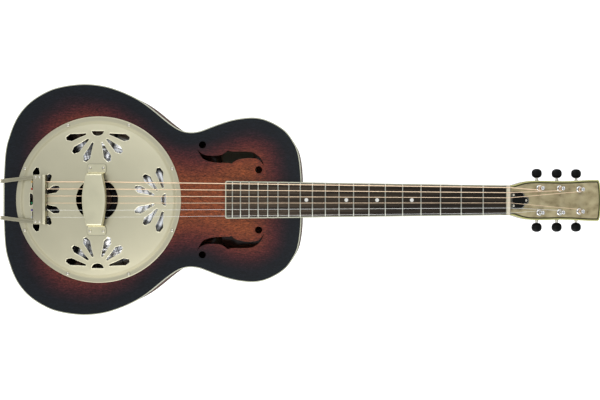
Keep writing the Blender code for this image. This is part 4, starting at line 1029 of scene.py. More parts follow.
def petal(angle):
    """One cut-out about the focus, pointing away from it at the angle."""
    half = in_mm(PETAL_MM)
    spin = Matrix.Rotation(angle, 2)
    return [tuple(spin @ Vector(point)) for point in half + [(x, -y) for x, y in reversed(half)]]


def divided(loop, spacing):
    """A closed outline with more points along its straight runs."""
    made = []
    for a, b in zip(loop, loop[1:] + loop[:1]):
        one, two = Vector(a), Vector(b)
        steps = max(1, round((two - one).length / spacing))
        made.extend(tuple(one.lerp(two, k / steps)) for k in range(steps))
    return made


def plate_cutouts():
    """Four fans of petals with a half-moon each, about a focus near the plate's edge."""
    found = []
    for quarter in range(4):
        spin = Matrix.Rotation(math.radians(90 * quarter), 2)
        fan = [petal(side * math.radians(90 - angle)) for side in (1, -1) for angle in PETAL_ANGLES]
        sweep = [math.pi * i / 14 for i in range(15)]
        fan.append([(MOON_DEEP * math.sin(t) - 0.5 * MM, -MOON_RADIUS * math.cos(t)) for t in sweep])
        for loop in fan:
            loop = [tuple(spin @ Vector((PETAL_FOCUS - x, -y))) for x, y in loop]
            found.append(divided(softened(loop, 0.35 * MM), 1.1 * MM))
    return found


def dome_z(radius):
    """The plate's upper face: a low dome, a soft step down and a flat flange."""
    if radius <= DOME_EDGE:
        part = (radius - PLATE_HOLE) / (DOME_EDGE - PLATE_HOLE)
        return DOME_EDGE_Z + (PLATE_HIGH - DOME_EDGE_Z) * (1 - part * part)
    if radius >= FLANGE_INSIDE:
        return FLANGE_TOP - 0.5 * MM * max(0, (radius - PLATE_RADIUS + 0.8 * MM) / (0.8 * MM)) ** 2
    part = (radius - DOME_EDGE) / (FLANGE_INSIDE - DOME_EDGE)
    return DOME_EDGE_Z + (FLANGE_TOP - DOME_EDGE_Z) * (1 - math.cos(math.pi * part)) / 2


def make_cover_plate():
    round_edges = [circle(0, 0, PLATE_RADIUS, PLATE_SIDES), circle(0, 0, PLATE_HOLE, 96)]
    loops = turned_ways(round_edges + plate_cutouts())
    tree = edge_tree(loops[1:], 0.5 * MM)
    inner = []
    for loop in loops[1:]:
        for away in (0.35, 0.8, 1.4, 2.2):
            spots = moved_left(loop, away * MM)
            inner.extend(spot for spot in spots if tree.find((*spot, 0))[2] > 0.8 * away * MM)
    for foot in foot_outlines():
        loop = turned_ways([foot])[0]
        for away in (0.5, -0.4, -1.2, -2.2):
            inner.extend(divided(moved_left(loop, away * MM), 1.5 * MM))
    for radius in DOME_RINGS_MM:
        inner.extend(circle(0, 0, radius * MM, int(radius * 2.2)))
    for radius in STEP_RINGS_MM:
        inner.extend(circle(0, 0, radius * MM, PLATE_SIDES))
    inner = [spot for spot in inner if tree.find((*spot, 0))[2] > 0.3 * MM]
    points, triangles = filled(loops, inner)

    def upper(x, y):
        away = tree.find((x, y, 0))[2] / BEAD_REACH
        bead = BEAD_HIGH * math.exp(-((away - 0.9) ** 2) / 0.3) - 2 * BEAD_HIGH * max(0, 1 - away / 0.5) ** 2
        return min(dome_z(math.hypot(x, y)) + bead, PLATE_HIGH)

    shape = sheet(points, triangles, upper, PLATE_THICK)
    ways = {"replaces": ("cover_plate",), "slot": "nickel", "sharp": 50}
    plate = keep("pressed_cover_plate", shape, PLATE_METAL, **ways)
    # the rim and foot distances feed the plate's painted edge highlight and its painted shadow round the feet
    write_distance(plate, "rim", edge_tree(loops[2:], 0.5 * MM))
    write_distance(plate, "foot", edge_tree(foot_outlines(), 0.5 * MM))
    places = []
    for i in range(8):
        turn = math.tau * (i + 0.5) / 8
        places.append(at(SCREW_CIRCLE * math.cos(turn), SCREW_CIRCLE * math.sin(turn), FLANGE_TOP + 0.3 * MM))
    hidden = [f"cover_screw_{number}" for number in range(1, 9)]
    screws("cover_plate_screws", places, 2.7 * MM, 1.6 * MM, SCREW_METAL, "nickel", replaces=hidden)


def foot_outlines():
    """The hand rest's two feet, seen from above."""
    low, high, half, corner = 42 * MM, 55 * MM, 14.4 * MM, 3.4 * MM
    foot = softened(rectangle(-half, low, half, high), corner)
    return [foot, [(x, -y) for x, y in foot]]


def sheet(points, triangles, upper, thickness):
    """A bmesh of a sheet whose upper face follows upper(x, y)."""
    shape = bmesh.new()
    over = [shape.verts.new((x, y, upper(x, y))) for x, y in points]
    under = [shape.verts.new(v.co - Vector((0, 0, thickness))) for v in over]
    edges = set()
    for triangle in triangles:
        shape.faces.new([over[i] for i in triangle])
        shape.faces.new([under[i] for i in reversed(triangle)])
        edges.update(zip(triangle, triangle[1:] + triangle[:1]))
    for a, b in edges:
        if (b, a) not in edges:
            shape.faces.new((over[b], over[a], under[a], under[b]))
    return closed_up(shape)


REST_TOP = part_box("hand_rest")[1].z
REST_FOOT_Z = PLATE_HIGH + 1.5 * MM
REST_SCREW = (10.4 * MM, 49.0 * MM)
# From one foot to the middle: the place across the guitar, the share of the height, half the
# strap's width, and how far its sides are turned down.
REST_STATIONS_MM = (
    (55.0, 0.0, 11.2, 0.0), (54.3, 0.0, 12.8, 0.0), (52.6, 0.0, 14.0, 0.0), (49.0, 0.0, 14.4, 0.0),
    (44.6, 0.0, 14.4, 0.0), (43.2, 0.0, 13.9, 0.0), (42.3, 0.01, 13.2, 0.05), (41.6, 0.12, 12.9, 0.25),
    (40.9, 0.5, 12.6, 0.6), (40.0, 0.88, 12.6, 0.9), (38.6, 0.985, 12.8, 1.0), (34.5, 1.0, 13.7, 1.0),
    (26.0, 1.0, 15.5, 1.0), (13.0, 1.0, 17.7, 1.0), (0.0, 1.0, 18.5, 1.0),
)


def make_hand_rest():
    """A bent strap along Y with a barrel-shaped top."""
    rise = REST_TOP - REST_FOOT_Z
    far_half = [(-y, *others) for y, *others in reversed(REST_STATIONS_MM[:-1])]
    stations = [*REST_STATIONS_MM, *far_half]
    run = smooth_path([Vector((y, share * 10, wide)) for y, share, wide, _ in stations], 3)
    flanges = smooth_path([Vector((flange, 0, 0)) for *_, flange in stations], 3)
    over = []
    for spot, flange in zip(run, flanges):
        y, high, wide = spot.x * MM, REST_FOOT_Z + rise * min(1, max(0, spot.y / 10)), spot.z * MM
        turned_down = min(1, max(0, flange.x))
        drop, fold = 7 * MM * turned_down, 2.2 * MM * turned_down
        side = [(wide + 0.5 * MM * turned_down, -drop), (wide + 0.25 * MM * turned_down, -0.62 * drop)]
        side += [(wide + 0.05 * MM * turned_down, -fold)]
        for k in range(1, 6):
            t = math.pi / 2 * k / 6
            side.append((wide - fold + fold * math.cos(t), -fold + fold * math.sin(t)))
        side += [(wide - fold - 0.3 * MM, 0)]
        crown = [(wide * part, 0.22 * MM * turned_down * (1 - part * part)) for part in (0.66, 0.4, 0.2, 0)]
        half = [(x, z - 0.22 * MM * turned_down) for x, z in side + crown]
        row = half + [(-x, z) for x, z in reversed(half[:-1])]
        over.append([(x, y, high + z) for x, z in row])
    shape = bmesh.new()
    rows = [[shape.verts.new(spot) for spot in row] for row in over]
    bridge(shape, rows, closed=False)
    bmesh.ops.remove_doubles(shape, verts=shape.verts, dist=1e-6)
    bmesh.ops.recalc_face_normals(shape, faces=shape.faces)
    if sum(face.normal.z * face.calc_area() for face in shape.faces) < 0:
        bmesh.ops.reverse_faces(shape, faces=shape.faces)
    rest = keep("bent_hand_rest", shape, REST_METAL, replaces=("hand_rest",), slot="nickel", sharp=60)
    solid = rest.modifiers.new("sheet", "SOLIDIFY")
    solid.thickness = 1.0 * MM
    solid.offset = -1
    rounds = rest.modifiers.new("edge", "BEVEL")
    rounds.width = 0.2 * MM
    rounds.segments = 2
    x, y = REST_SCREW
    places = [at(a * x, b * y, REST_FOOT_Z + 0.02 * MM) for a in (1, -1) for b in (1, -1)]
    screws("hand_rest_screws", places, 2.6 * MM, 1.5 * MM, SCREW_METAL, "nickel")


# ---------------------------------------------------------------- tailpiece

STRAP_LINE_MM = (
    (-97, 94), (-110, 92.2), (-124, 91), (-138, 90), (-149, 89.4), (-153.6, 87.4), (-156.2, 83),
    (-157.3, 76), (-157.5, 66), (-157.5, 61),
)
STRAP_Y = (35.0 * MM, 29.0 * MM)
# Turned profiles, here and further down, are (radius, height).
EYE_MM = ((1.85, -3.3), (3.1, -3.3), (3.4, -3.0), (3.4, 3.0), (3.1, 3.3), (1.85, 3.3))
STRAP_BUTTON_MM = (
    (0, 11.5), (3.4, 11.35), (5.8, 10.9), (6.8, 10.1), (7.0, 9.4), (6.7, 8.3), (5.6, 7.2), (4.2, 6.2),
    (3.75, 5.0), (3.8, 3.6), (4.5, 2.2), (5.8, 0.8), (6.5, 0.0), (0, 0),
)
BALL_X = -102.5 * MM


def make_tailpiece():
    wall = 1.4 * MM
    lip = CHANNEL_TOP + 2.0 * MM
    outer = [
        (CHANNEL_BACK, 91.4 * MM), (CHANNEL_BACK, CHANNEL_TOP), (CHANNEL_FRONT - 6.6 * MM, CHANNEL_TOP),
        (CHANNEL_FRONT - 5.6 * MM, lip), (CHANNEL_FRONT - 1.2 * MM, lip), (CHANNEL_FRONT, 94.0 * MM),
    ]
    over = rounded_line(outer, 1.3 * MM)
    line = [Vector(point) for point in over]
    under = []
    for i, point in enumerate(line):
        along = (line[min(i + 1, len(line) - 1)] - line[max(i - 1, 0)]).normalized()
        under.append(tuple(point + Vector((along.y, -along.x)) * wall))
    section = over + under[::-1]
    rings = []
    for y, shrink in ((-1, 0.35), (-0.99, 0.0), (0, 0), (0.99, 0.0), (1, 0.35)):
        rings.append([(x, y * CHANNEL_HALF, z - shrink * MM * 0.5) for x, z in section])
    channel = keep("tailpiece_channel", loft(rings), TAIL_METAL, "tailpiece", slot="nickel", sharp=35)
    notches = []
    for number in range(6):
        y = (2.5 - number) * 11.06 * MM
        for x, top in ((CHANNEL_BACK, 96.9 * MM), (CHANNEL_FRONT, 97.6 * MM)):
            notches.append(block((x - 4 * MM, y - 1.5 * MM, 90 * MM), (x + 4 * MM, y + 1.5 * MM, top)))
    cut_away(channel, notches)
    channel.data.set_sharp_from_angle(angle=math.radians(35))
    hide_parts("tailpiece")

    wide, thick, groove = 3.0, 1.0, 0.75
    section = [
        (-wide, -thick + 0.3), (-wide, thick - 0.35), (-wide + 0.3, thick), (-groove - 0.35, thick),
        (-groove, thick - 0.3), (-groove + 0.1, thick - 0.75), (groove - 0.1, thick - 0.75),
        (groove, thick - 0.3), (groove + 0.35, thick), (wide - 0.3, thick), (wide, thick - 0.35),
        (wide, -thick + 0.3),
        (wide - 0.3, -thick), (-wide + 0.3, -thick),
    ]
    for name, side in (("bass", 1), ("treble", -1)):
        path = smooth_path([Vector((x * MM, 0, z * MM)) for x, z in STRAP_LINE_MM], 5)
        rings = []
        for i, point in enumerate(path):
            along = (path[min(i + 1, len(path) - 1)] - path[max(i - 1, 0)]).normalized()
            up = Vector((along.z, 0, -along.x))
            share = min(1, max(0, (point.x - TAIL_X) / (CHANNEL_BACK - TAIL_X)))
            middle = side * (STRAP_Y[1] + (STRAP_Y[0] - STRAP_Y[1]) * share)
            rings.append([point + Vector((0, middle + a * MM, 0)) + up * b * MM for a, b in section])
        keep(f"tailpiece_strap_{name}", loft(rings), TAIL_METAL, "tailpiece", slot="nickel", sharp=40)
        eye = lathe_mm(EYE_MM, closed=True)
        place = at(HINGE.x, side * STRAP_Y[1], HINGE.z) @ Matrix.Rotation(math.pi / 2, 4, "X")
        keep(f"tailpiece_eye_{name}", placed(eye, place), TAIL_METAL, "tailpiece", slot="nickel")
    rivets = []
    for side in (1, -1):
        for x in (CHANNEL_BACK + 4.2 * MM, CHANNEL_BACK + 10.5 * MM):
            dome = [(1.9 * math.sin(t), 0.75 * math.cos(t)) for t in quarter_turn(5)]
            rivet = lathe_mm([*dome, (1.9, -0.5), (0, -0.5)], 20)
            rivets.append(placed(rivet, at(x, side * (CHANNEL_HALF - 3.6 * MM), CHANNEL_TOP)))
    keep("tailpiece_rivets", joined(rivets), SCREW_METAL, "tailpiece", slot="nickel")

    face = TAIL_X - 0.3 * MM
    stand = Matrix(((0, 0, 1, face - 2 * MM), (1, 0, 0, 0), (0, 1, 0, 0), (0, 0, 0, 1)))
    outline = in_mm(softened(rectangle(-36.0, 36.0, 36.0, 66.0), 4))
    plate = placed(slab([outline], 0, 2 * MM, edge=0.4 * MM), stand)
    half = STRAP_Y[1] / MM - 3.6
    profile = [(1.85, -half), (3.7, -half), (4.0, -half + 0.3), (4.0, half - 0.3), (3.7, half), (1.85, half)]
    barrel = lathe_mm(profile, closed=True)
    placed(barrel, at(HINGE.x, 0, HINGE.z) @ Matrix.Rotation(math.pi / 2, 4, "X"))
    ways = {"replaces": ("tailpiece_bracket",), "slot": "nickel", "sharp": 40}
    keep("hinge_bracket", joined([plate, barrel]), TAIL_METAL, **ways)
    outward = Matrix.Rotation(-math.pi / 2, 4, "Y")
    places = [at(face - 2 * MM, y * MM, z * MM) @ outward for y, z in ((-29, 42), (0, 41), (29, 42))]
    screws("bracket_screws", places, 2.9 * MM, 1.4 * MM, SCREW_METAL, "nickel")
    shape = placed(lathe_mm(STRAP_BUTTON_MM, 40), at(face, 0, 27 * MM) @ outward)
    keep("strap_button_turned", shape, CHROME, replaces=("strap_button",), slot="chrome", sharp=30)


# ---------------------------------------------------------------- strings

STRING_MM = (0.70, 0.55, 0.45, 0.33, 0.22, 0.17)
SADDLE_SPACING, NUT_SPACING = 11.06 * MM, 7.85 * MM
NUT_TOP = NUT_HIGH.z
POST_OF_STRING = ("bass_1", "bass_2", "bass_3", "treble_3", "treble_2", "treble_1")
# How often each string goes round its post, from the sixth to the first.
POST_TURNS = (2.2, 2.4, 2.6, 2.8, 3.0, 3.2)
BALL_MM = (
    (0, 1.6), (1.5, 1.6), (1.95, 1.36), (1.95, 0.76), (1.25, 0.44),
    (1.25, -0.44), (1.95, -0.76), (1.95, -1.36), (1.5, -1.6), (0, -1.6),
)
WAIST = 2.5 * MM
STRING_AT_POST = 6.5 * MM


def post_spot(name):
    side = 1 if name.startswith("bass") else -1
    along, across = POSTS[int(name[-1]) - 1]
    return along, side * across, side


def string_z(x, radius):
    saddle = SADDLE_Z + 0.3 * MM + radius
    if x <= 0:
        return saddle + 0.063 * x
    return saddle + (NUT_TOP + 0.3 * MM + radius - saddle) * x / SCALE_LENGTH


def make_strings():
    for number in range(6):
        radius = STRING_MM[number] * MM
        steps = 2.5 - number
        at_saddle, at_nut = steps * SADDLE_SPACING, steps * NUT_SPACING
        along, across, side = post_spot(POST_OF_STRING[number])
        reach = WAIST + 0.3 * MM + radius
        end = HEAD @ Vector((along, across - side * reach, STRING_AT_POST))
        nut_z = string_z(SCALE_LENGTH, radius)
        route = [Vector((BALL_X - 0.4 * MM, at_saddle, string_z(BALL_X, radius)))]
        route.append(Vector((-4 * MM, at_saddle, string_z(-4 * MM, radius))))
        for k in range(-2, 3):
            x = 1.2 * MM * k
            route.append(Vector((x, at_saddle, string_z(x, radius) - 0.02 * MM)))
        route.append(Vector((SCALE_LENGTH, at_nut, nut_z)))
        leave = Vector((SCALE_LENGTH + 5.0 * MM, at_nut, nut_z - 0.05 * MM))
        route.append(leave)
        for k in range(1, 4):
            part = k / 4
            route.append(leave.lerp(end, 0.04 * k) + Vector((0, 0, 0.10 * MM * (1 - part))))
        route.append(end)
        wound = number < 4
        name = f"string_{6 - number}"
        slot = "wound_bronze" if wound else "steel"
        finish = BRONZE if wound else PLAIN_WIRE
        tube(f"{name}_wire", route, radius, finish, replaces=(name,), slot=slot)

        ball = lathe_mm(BALL_MM, 24)
        place = at(BALL_X, at_saddle, string_z(BALL_X, radius)) @ Matrix.Rotation(math.pi / 2, 4, "X")
        keep(f"{name}_ball", placed(ball, place), BALL_METALS[number], slot=slot)

        turns = POST_TURNS[number]
        count = 70
        wraps = []
        for k in range(count + 1):
            part = k / count
            angle = side * (math.tau * turns * part - math.pi / 2)
            fall = min((2 * radius + 0.06 * MM) * turns * part, 2.4 * MM)
            spot = (along + (WAIST + radius) * math.cos(angle), across + (WAIST + radius) * math.sin(angle))
            wraps.append(HEAD @ Vector((*spot, STRING_AT_POST - fall)))
        tail = HEAD @ Vector((along, across, STRING_AT_POST - fall - 0.1 * MM))
        wraps.append(wraps[-1].lerp(tail, 0.6))
        tube(f"{name}_turns", wraps, radius * 0.98, finish, f"post_{POST_OF_STRING[number]}", slot=slot)


# ---------------------------------------------------------------- neck, fretboard and headstock

BOARD_BINDING = 1.8 * MM
DOTTED_FRETS = (5, 7, 9, 12)
NUT_HALF = NUT_HIGH.y


def board_half(x):
    return BOARD_HALF_END + (NUT_HALF - BOARD_HALF_END) * (x - BOARD_END_X) / (SCALE_LENGTH - BOARD_END_X)


def board_outline(margin, corner=3.0 * MM):
    """The board's edge, moved in by the margin, with rounded corners over the body."""
    nut_x = SCALE_LENGTH - 0.3 * MM
    end_x = BOARD_END_X + margin
    xs = [nut_x + (end_x + corner - nut_x) * k / 24 for k in range(24)]
    side = [(x, board_half(x) - margin) for x in xs]
    middle = Vector((end_x + corner, board_half(end_x) - margin - corner))
    for k in range(9):
        turn = math.radians(90 + 90 * k / 8)
        side.append((middle.x + corner * math.cos(turn), middle.y + corner * math.sin(turn)))
    return side + [(x, -y) for x, y in reversed(side)]


def fret_x(number):
    return SCALE_LENGTH * 2 ** (-number / 12)


def dot_x(number):
    return (fret_x(number) + fret_x(number - 1)) / 2


def make_fretboard():
    low = BOARD_LOW.z
    wood_loop = board_outline(BOARD_BINDING + 0.05 * MM, 2.2 * MM)
    board = slab([wood_loop], low, BOARD_TOP, edge=0.12 * MM)
    keep("fretboard_wood", board, ROSEWOOD, replaces=("fretboard",), slot="rosewood", sharp=40)
    edges = [board_outline(0), board_outline(BOARD_BINDING, 2.2 * MM)[::-1]]
    trim = slab(edges, low, BOARD_TOP, edge=0.35 * MM)
    keep("board_edge_binding", trim, CREAM, replaces=("fretboard_binding",), slot="cream_binding", sharp=40)

    turns = [math.pi * k / 10 for k in range(11)]
    arc = [(0.95 * MM * math.cos(t), FRET_HIGH * math.sin(t)) for t in turns]
    arc += [(-0.95 * MM, -0.1 * MM), (0.95 * MM, -0.1 * MM)]
    frets = []
    for number in range(1, 20):
        x = fret_x(number)
        reach = board_half(x) - 0.25 * MM
        rings = []
        for y, share in ((-reach, 0.35), (-reach + 0.7 * MM, 1), (reach - 0.7 * MM, 1), (reach, 0.35)):
            rings.append([(x + a, y, BOARD_TOP + (b if b <= 0 else b * share)) for a, b in arc])
        frets.append(loft(rings))
    keep("fret_wires", joined(frets), FRET_METAL, slot="rosewood", sharp=50)

    dots, marks = [], []
    outward = Matrix.Rotation(-math.pi / 2, 4, "X")
    for number in DOTTED_FRETS:
        dot = lathe_mm([(0, 0.03), (2.9, 0.03), (3.0, -0.5), (0, -0.5)])
        dots.append(placed(dot, at(dot_x(number), 0, BOARD_TOP)))
        across = (0,) if number != 12 else (-2.6 * MM, 2.6 * MM)
        for shift in across:
            x = dot_x(number) + shift
            mark = lathe_mm([(0, 0.06), (1.0, 0.06), (1.0, -0.5), (0, -0.5)], 20)
            place = at(x, board_half(x) - 0.02 * MM, (low + BOARD_TOP) / 2)
            marks.append(placed(mark, place @ outward))
    keep("pearl_dots", joined(dots), PEARL, slot="pearloid")
    keep("side_dots", joined(marks), BLACK, slot="black_plastic")


def make_nut():
    nut = block(NUT_LOW, NUT_HIGH)
    upper = [edge for edge in nut.edges if edge.verts[0].co.z > BOARD_TOP]
    long_edges = [edge for edge in upper if edge.calc_length() > 20 * MM]
    bmesh.ops.bevel(nut, geom=long_edges, offset=1.3 * MM, segments=5, profile=0.5, affect="EDGES")
    others = [edge for edge in nut.edges if 20 * MM > edge.calc_length() > 3 * MM]
    bmesh.ops.bevel(nut, geom=others, offset=0.3 * MM, segments=2, profile=0.5, affect="EDGES")
    made = keep("slotted_nut", nut, BONE, slot="bone", sharp=40)
    slots = []
    for number in range(6):
        radius = STRING_MM[number] * MM
        y = (2.5 - number) * NUT_SPACING
        z = string_z(SCALE_LENGTH, radius)
        low, high = NUT_LOW.x - 2 * MM, NUT_HIGH.x + 2 * MM
        slots.append(bar(radius + 0.12 * MM, (low, y, z - 0.62 * MM), (high, y, z - 0.62 * MM), 12))
    cut_away(made, slots)
    made.data.set_sharp_from_angle(angle=math.radians(40))
    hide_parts("nut")


# Along the neck from the heel to the headstock: the place, half the width and the depth.
NECK_STATIONS_MM = (
    (319.2, 27.6, 79.0), (321.5, 27.5, 76.8), (325.5, 27.3, 69.5), (331, 27.05, 57.5), (338, 26.9, 45.0),
    (347.2, 26.7, 32.5), (361.2, 26.5, 22.4), (381.2, 26.2, 18.2), (430, 25.4, 17.3), (480, 24.6, 16.6),
    (600, 23.3, 15.4), (634, 22.8, 15.0), (642, 22.7, 14.2), (650, 22.4, 12.5),
)
HEAD_THICK = 15 * MM
OVERLAY = 1.5 * MM
HEAD_BINDING = 2.1 * MM
HEAD_LINE = 2.1 * MM
HEAD_HALF_MM = (
    (0.0, 23.3), (5.0, 23.7), (12.0, 25.9), (19.7, 28.1), (29.0, 29.8), (38.9, 30.5), (59.6, 30.6),
    (83.5, 30.2), (107.3, 30.8), (131.2, 32.2), (149.5, 32.4),
)
HEAD_TIP_MM = ((151.8, 25.5), (153.2, 12.5), (153.8, 0))


def head_outline(start):
    """The headstock's outline in its own plane, cut off square at the start."""
    side = smooth_path(HEAD_HALF_MM, 4)
    tip = smooth_path((HEAD_HALF_MM[-1], *HEAD_TIP_MM), 4)
    corner = softened([tuple(side[-4]), tuple(side[-1]), tuple(tip[3])], 1.6)[4:8]
    half = [tuple(point) for point in side[:-3]] + corner + [tuple(point) for point in tip[3:]]
    return [(max(x, start), y) for x, y in in_mm(mirrored(half))]


def square_ended(line, start):
    """The line with its two ends brought back to the square start of the headstock."""
    return [(start, line[0][1]), *line[1:-1], (start, line[-1][1])]


def neck_ring(x, half, deep, count=28):
    """A section of the neck: flat on top, rounded below."""
    ring = [(x, half * share, TOP_Z) for share in (1, 0.5, 0, -0.5, -1)]
    for i in range(1, count):
        turn = math.pi - math.pi * i / count
        reach = math.copysign(abs(math.cos(turn)) ** 0.85, math.cos(turn))
        ring.append((x, half * reach, TOP_Z - deep * math.sin(turn) ** 0.8))
    return ring


def make_neck():
    run = smooth_path(NECK_STATIONS_MM, 5)
    shape = loft([neck_ring(p.x * MM, p.y * MM, p.z * MM) for p in run])
    neck = keep("shaped_neck", shape, NECK_WOOD, replaces=("neck",), slot="mahogany", sharp=50)
    channel = block((640.9 * MM, -4.5 * MM, 74.5 * MM), (664 * MM, 4.5 * MM, 95 * MM))
    cut_away(neck, [channel])

    posts = [post_spot(f"{side}_{number}") for side in ("bass", "treble") for number in (1, 2, 3)]
    holes = [circle(x, y, 3.3 * MM, 24) for x, y, _ in posts]
    pocket = in_mm(rectangle(3, -4.5, 24, 4.5))
    wood_top = -OVERLAY - 0.02 * MM
    back = slab([head_outline(-3.0 * MM), *holes], -HEAD_THICK, wood_top, edge=1.1 * MM, rounds=4)
    keep("headstock_wood", placed(back, HEAD), NECK_WOOD, slot="mahogany", weighted=True)

    start = 0.4 * MM
    rim = turned_ways([head_outline(start)])[0]
    trimmed = square_ended(moved_left(rim, HEAD_BINDING), start)
    lined = square_ended(moved_left(rim, HEAD_BINDING + HEAD_LINE), start)
    binding = slab([rim + trimmed[::-1]], -OVERLAY, 0, edge=0.3 * MM)
    ways = {"replaces": ("headstock_binding",), "slot": "cream_binding"}
    keep("headstock_edge", placed(binding, HEAD), HEAD_CREAM, **ways)
    line = slab([trimmed + lined[::-1]], -OVERLAY, 0.01 * MM, edge=0.02 * MM)
    keep("headstock_line", placed(line, HEAD), DARK_OLIVE, slot="black_plastic")
    face = slab([lined, pocket, *holes], -OVERLAY, 0, edge=0.06 * MM)
    keep("pearloid_face", placed(face, HEAD), PEARLOID, replaces=("headstock_overlay",), slot="pearloid")
    make_truss_cover()


TRUSS_MM = (
    (0.5, 12.4), (1.4, 13.1), (9.0, 13.2), (16.8, 13.0), (20.0, 11.4), (22.3, 9.3), (22.7, 7.4), (22.0, 6.1),
    (24.8, 5.7), (27.6, 4.9), (29.5, 2.9), (30.0, 0.0),
)


def make_truss_cover():
    loop = turned_ways([in_mm(mirrored(smooth_path(TRUSS_MM, 3)))])[0]
    top = 1.7 * MM
    cover = slab([loop], 0.3 * MM, top, edge=0.3 * MM)
    keep("truss_cover", placed(cover, HEAD), BLACK, replaces=("truss_rod_cover",), slot="black_plastic")
    edges = [moved_left(loop, 0.7 * MM), moved_left(loop, 1.1 * MM)[::-1]]
    line = slab(edges, top - 0.2 * MM, top + 0.03 * MM, edge=0.01 * MM)
    keep("truss_cover_line", placed(line, HEAD), WHITE, slot="cream_binding")
    spots = ((4.4, 8.3), (4.4, -8.3), (25.4, 0))
    places = [HEAD @ at(x * MM, y * MM, top) for x, y in spots]
    screws("truss_cover_screws", places, 1.9 * MM, 0.9 * MM, SCREW_METAL, "chrome")


# ---------------------------------------------------------------- tuners

GEAR_TOP, GEAR_LOW = -16.8 * MM, -20.2 * MM
WORM_Z = (GEAR_TOP + GEAR_LOW) / 2
WORM_AHEAD = 4.6 * MM
TEETH = 14
BUTTON_Y = 42.4 * MM
PLATE_BACK = -HEAD_THICK - 0.3 * MM
TUNER_PLATE = 1.2 * MM
POST_MM = (
    (0, 12.6), (1.2, 12.6), (1.9, 13.0), (2.5, 12.9), (3.0, 12.4), (3.1, 11.8), (3.1, 10.6), (2.85, 10.0),
    (2.55, 9.2), (2.5, 8.4), (2.5, 4.9), (2.6, 4.2), (2.9, 3.4), (2.9, -20.4), (1.6, -20.4),
    (1.4, -21.4), (0, -21.4),
)
BUSHING_MM = ((3.25, -0.3), (4.9, -0.3), (4.9, 0.35), (4.6, 0.75), (4.0, 1.05), (3.6, 1.6), (3.25, 1.6))
COLLAR_MM = (
    (1.1, -4.4), (2.6, -4.4), (3.0, -4.0), (3.0, -0.8), (2.6, 0.3), (2.1, 2.6), (1.9, 4.6), (1.1, 4.6),
)


def gear():
    """A worm wheel's outline with rounded teeth, drawn out along Z."""
    ring = []
    for k in range(TEETH * 8):
        angle = math.tau * k / (TEETH * 8)
        wave = math.cos(TEETH * angle)
        radius = 2.75 * MM + 0.33 * MM * math.copysign(abs(wave) ** 0.6, wave)
        ring.append((radius * math.cos(angle), radius * math.sin(angle)))
    rings = [[(x * s, y * s, z) for x, y in ring] for z, s in ((GEAR_LOW, 0.93), (GEAR_LOW + 0.3 * MM, 1))]
    rings += [[(x * s, y * s, z) for x, y in ring] for z, s in ((GEAR_TOP - 0.3 * MM, 1), (GEAR_TOP, 0.93))]
    return loft(rings)


def worm(start, end, turns, sides=16):
    """A shaft along Y with one raised helical thread."""
    count = 70
    rings = []
    for k in range(count + 1):
        part = k / count
        ring = []
        for i in range(sides):
            angle = math.tau * i / sides
            ridge = math.cos(angle - math.tau * turns * part)
            radius = (0.95 + 0.42 * max(0, ridge) ** 1.5 * min(1, 8 * part, 8 * (1 - part))) * MM
            ring.append((radius * math.cos(angle), start + (end - start) * part, radius * math.sin(angle)))
        rings.append(ring)
    return loft(rings)


def button_shape():
    """An oval button, flatter than an egg, with a waist toward the shaft."""
    shape = bmesh.new()
    bmesh.ops.create_uvsphere(shape, u_segments=40, v_segments=24, radius=1)
    for vertex in shape.verts:
        x, y, z = vertex.co
        flat = math.copysign(abs(z) ** 0.72, z)
        square = 1 / max(abs(x) ** 2.35 + abs(y) ** 2.35, 1e-9) ** (1 / 2.35) * math.hypot(x, y)
        square = min(square, 1.12) if math.hypot(x, y) > 1e-6 else 1
        vertex.co = (x * square * 8.4 * MM, y * square * 7.4 * MM, flat * 4.1 * MM)
    return shape


def make_tuners():
    for side_name in ("bass", "treble"):
        for number in (1, 2, 3):
            name = f"{side_name}_{number}"
            along, across, side = post_spot(name)
            place = HEAD @ at(along, across, 0)
            post = keep(f"post_turned_{name}", lathe_mm(POST_MM, 36), CHROME, f"post_{name}")
            cut_away(post, [bar(0.85 * MM, (-0.006, 0, STRING_AT_POST), (0.006, 0, STRING_AT_POST), 14)])
            post.data.transform(place)
            post.data.set_sharp_from_angle(angle=math.radians(35))
            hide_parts(f"tuner_post_{name}")
            wheel = placed(gear(), place)
            keep(f"worm_wheel_{name}", wheel, BRASS, f"post_{name}", slot="chrome", sharp=40)
            under = [place @ at(0, 0, -20.4 * MM) @ Matrix.Rotation(math.pi, 4, "X")]
            ways = (1.9 * MM, 0.9 * MM, CHROME, "chrome", f"post_{name}")
            screws(f"wheel_screw_{name}", under, *ways, slots=1)

            bushing = lathe_mm(BUSHING_MM, 36, closed=True)
            keep(f"post_bushing_{name}", placed(bushing, place), CHROME, slot="chrome", sharp=30)

            shaft = HEAD @ at(along + WORM_AHEAD, 0, WORM_Z)
            inner, outer = across - side * 7.2 * MM, side * (BUTTON_Y - 6.0 * MM)
            near, far = across - side * 4.2 * MM, across + side * 4.2 * MM
            pieces = [worm(near, far, 6)]
            pieces.append(bar(1.1 * MM, (0, inner, 0), (0, near, 0), 20))
            pieces.append(bar(1.1 * MM, (0, far, 0), (0, outer, 0), 20))
            collar = lathe_mm(COLLAR_MM, 28, closed=True)
            turn = Matrix.Rotation(-side * math.pi / 2, 4, "X")
            pieces.append(placed(collar, at(0, side * (BUTTON_Y - 10.4 * MM), 0) @ turn))
            knob = placed(joined(pieces), shaft)
            keep(f"knob_shaft_{name}", knob, TUNER_METAL, f"knob_{name}", slot="nickel", sharp=35)
            button = placed(button_shape(), shaft @ at(0, side * BUTTON_Y, 0))
            keep(
                f"button_{name}", button, BLACK, f"knob_{name}",
                replaces=(f"tuner_knob_{name}",), slot="black_plastic", sharp=60,
            )

        make_tuner_plate(side_name)


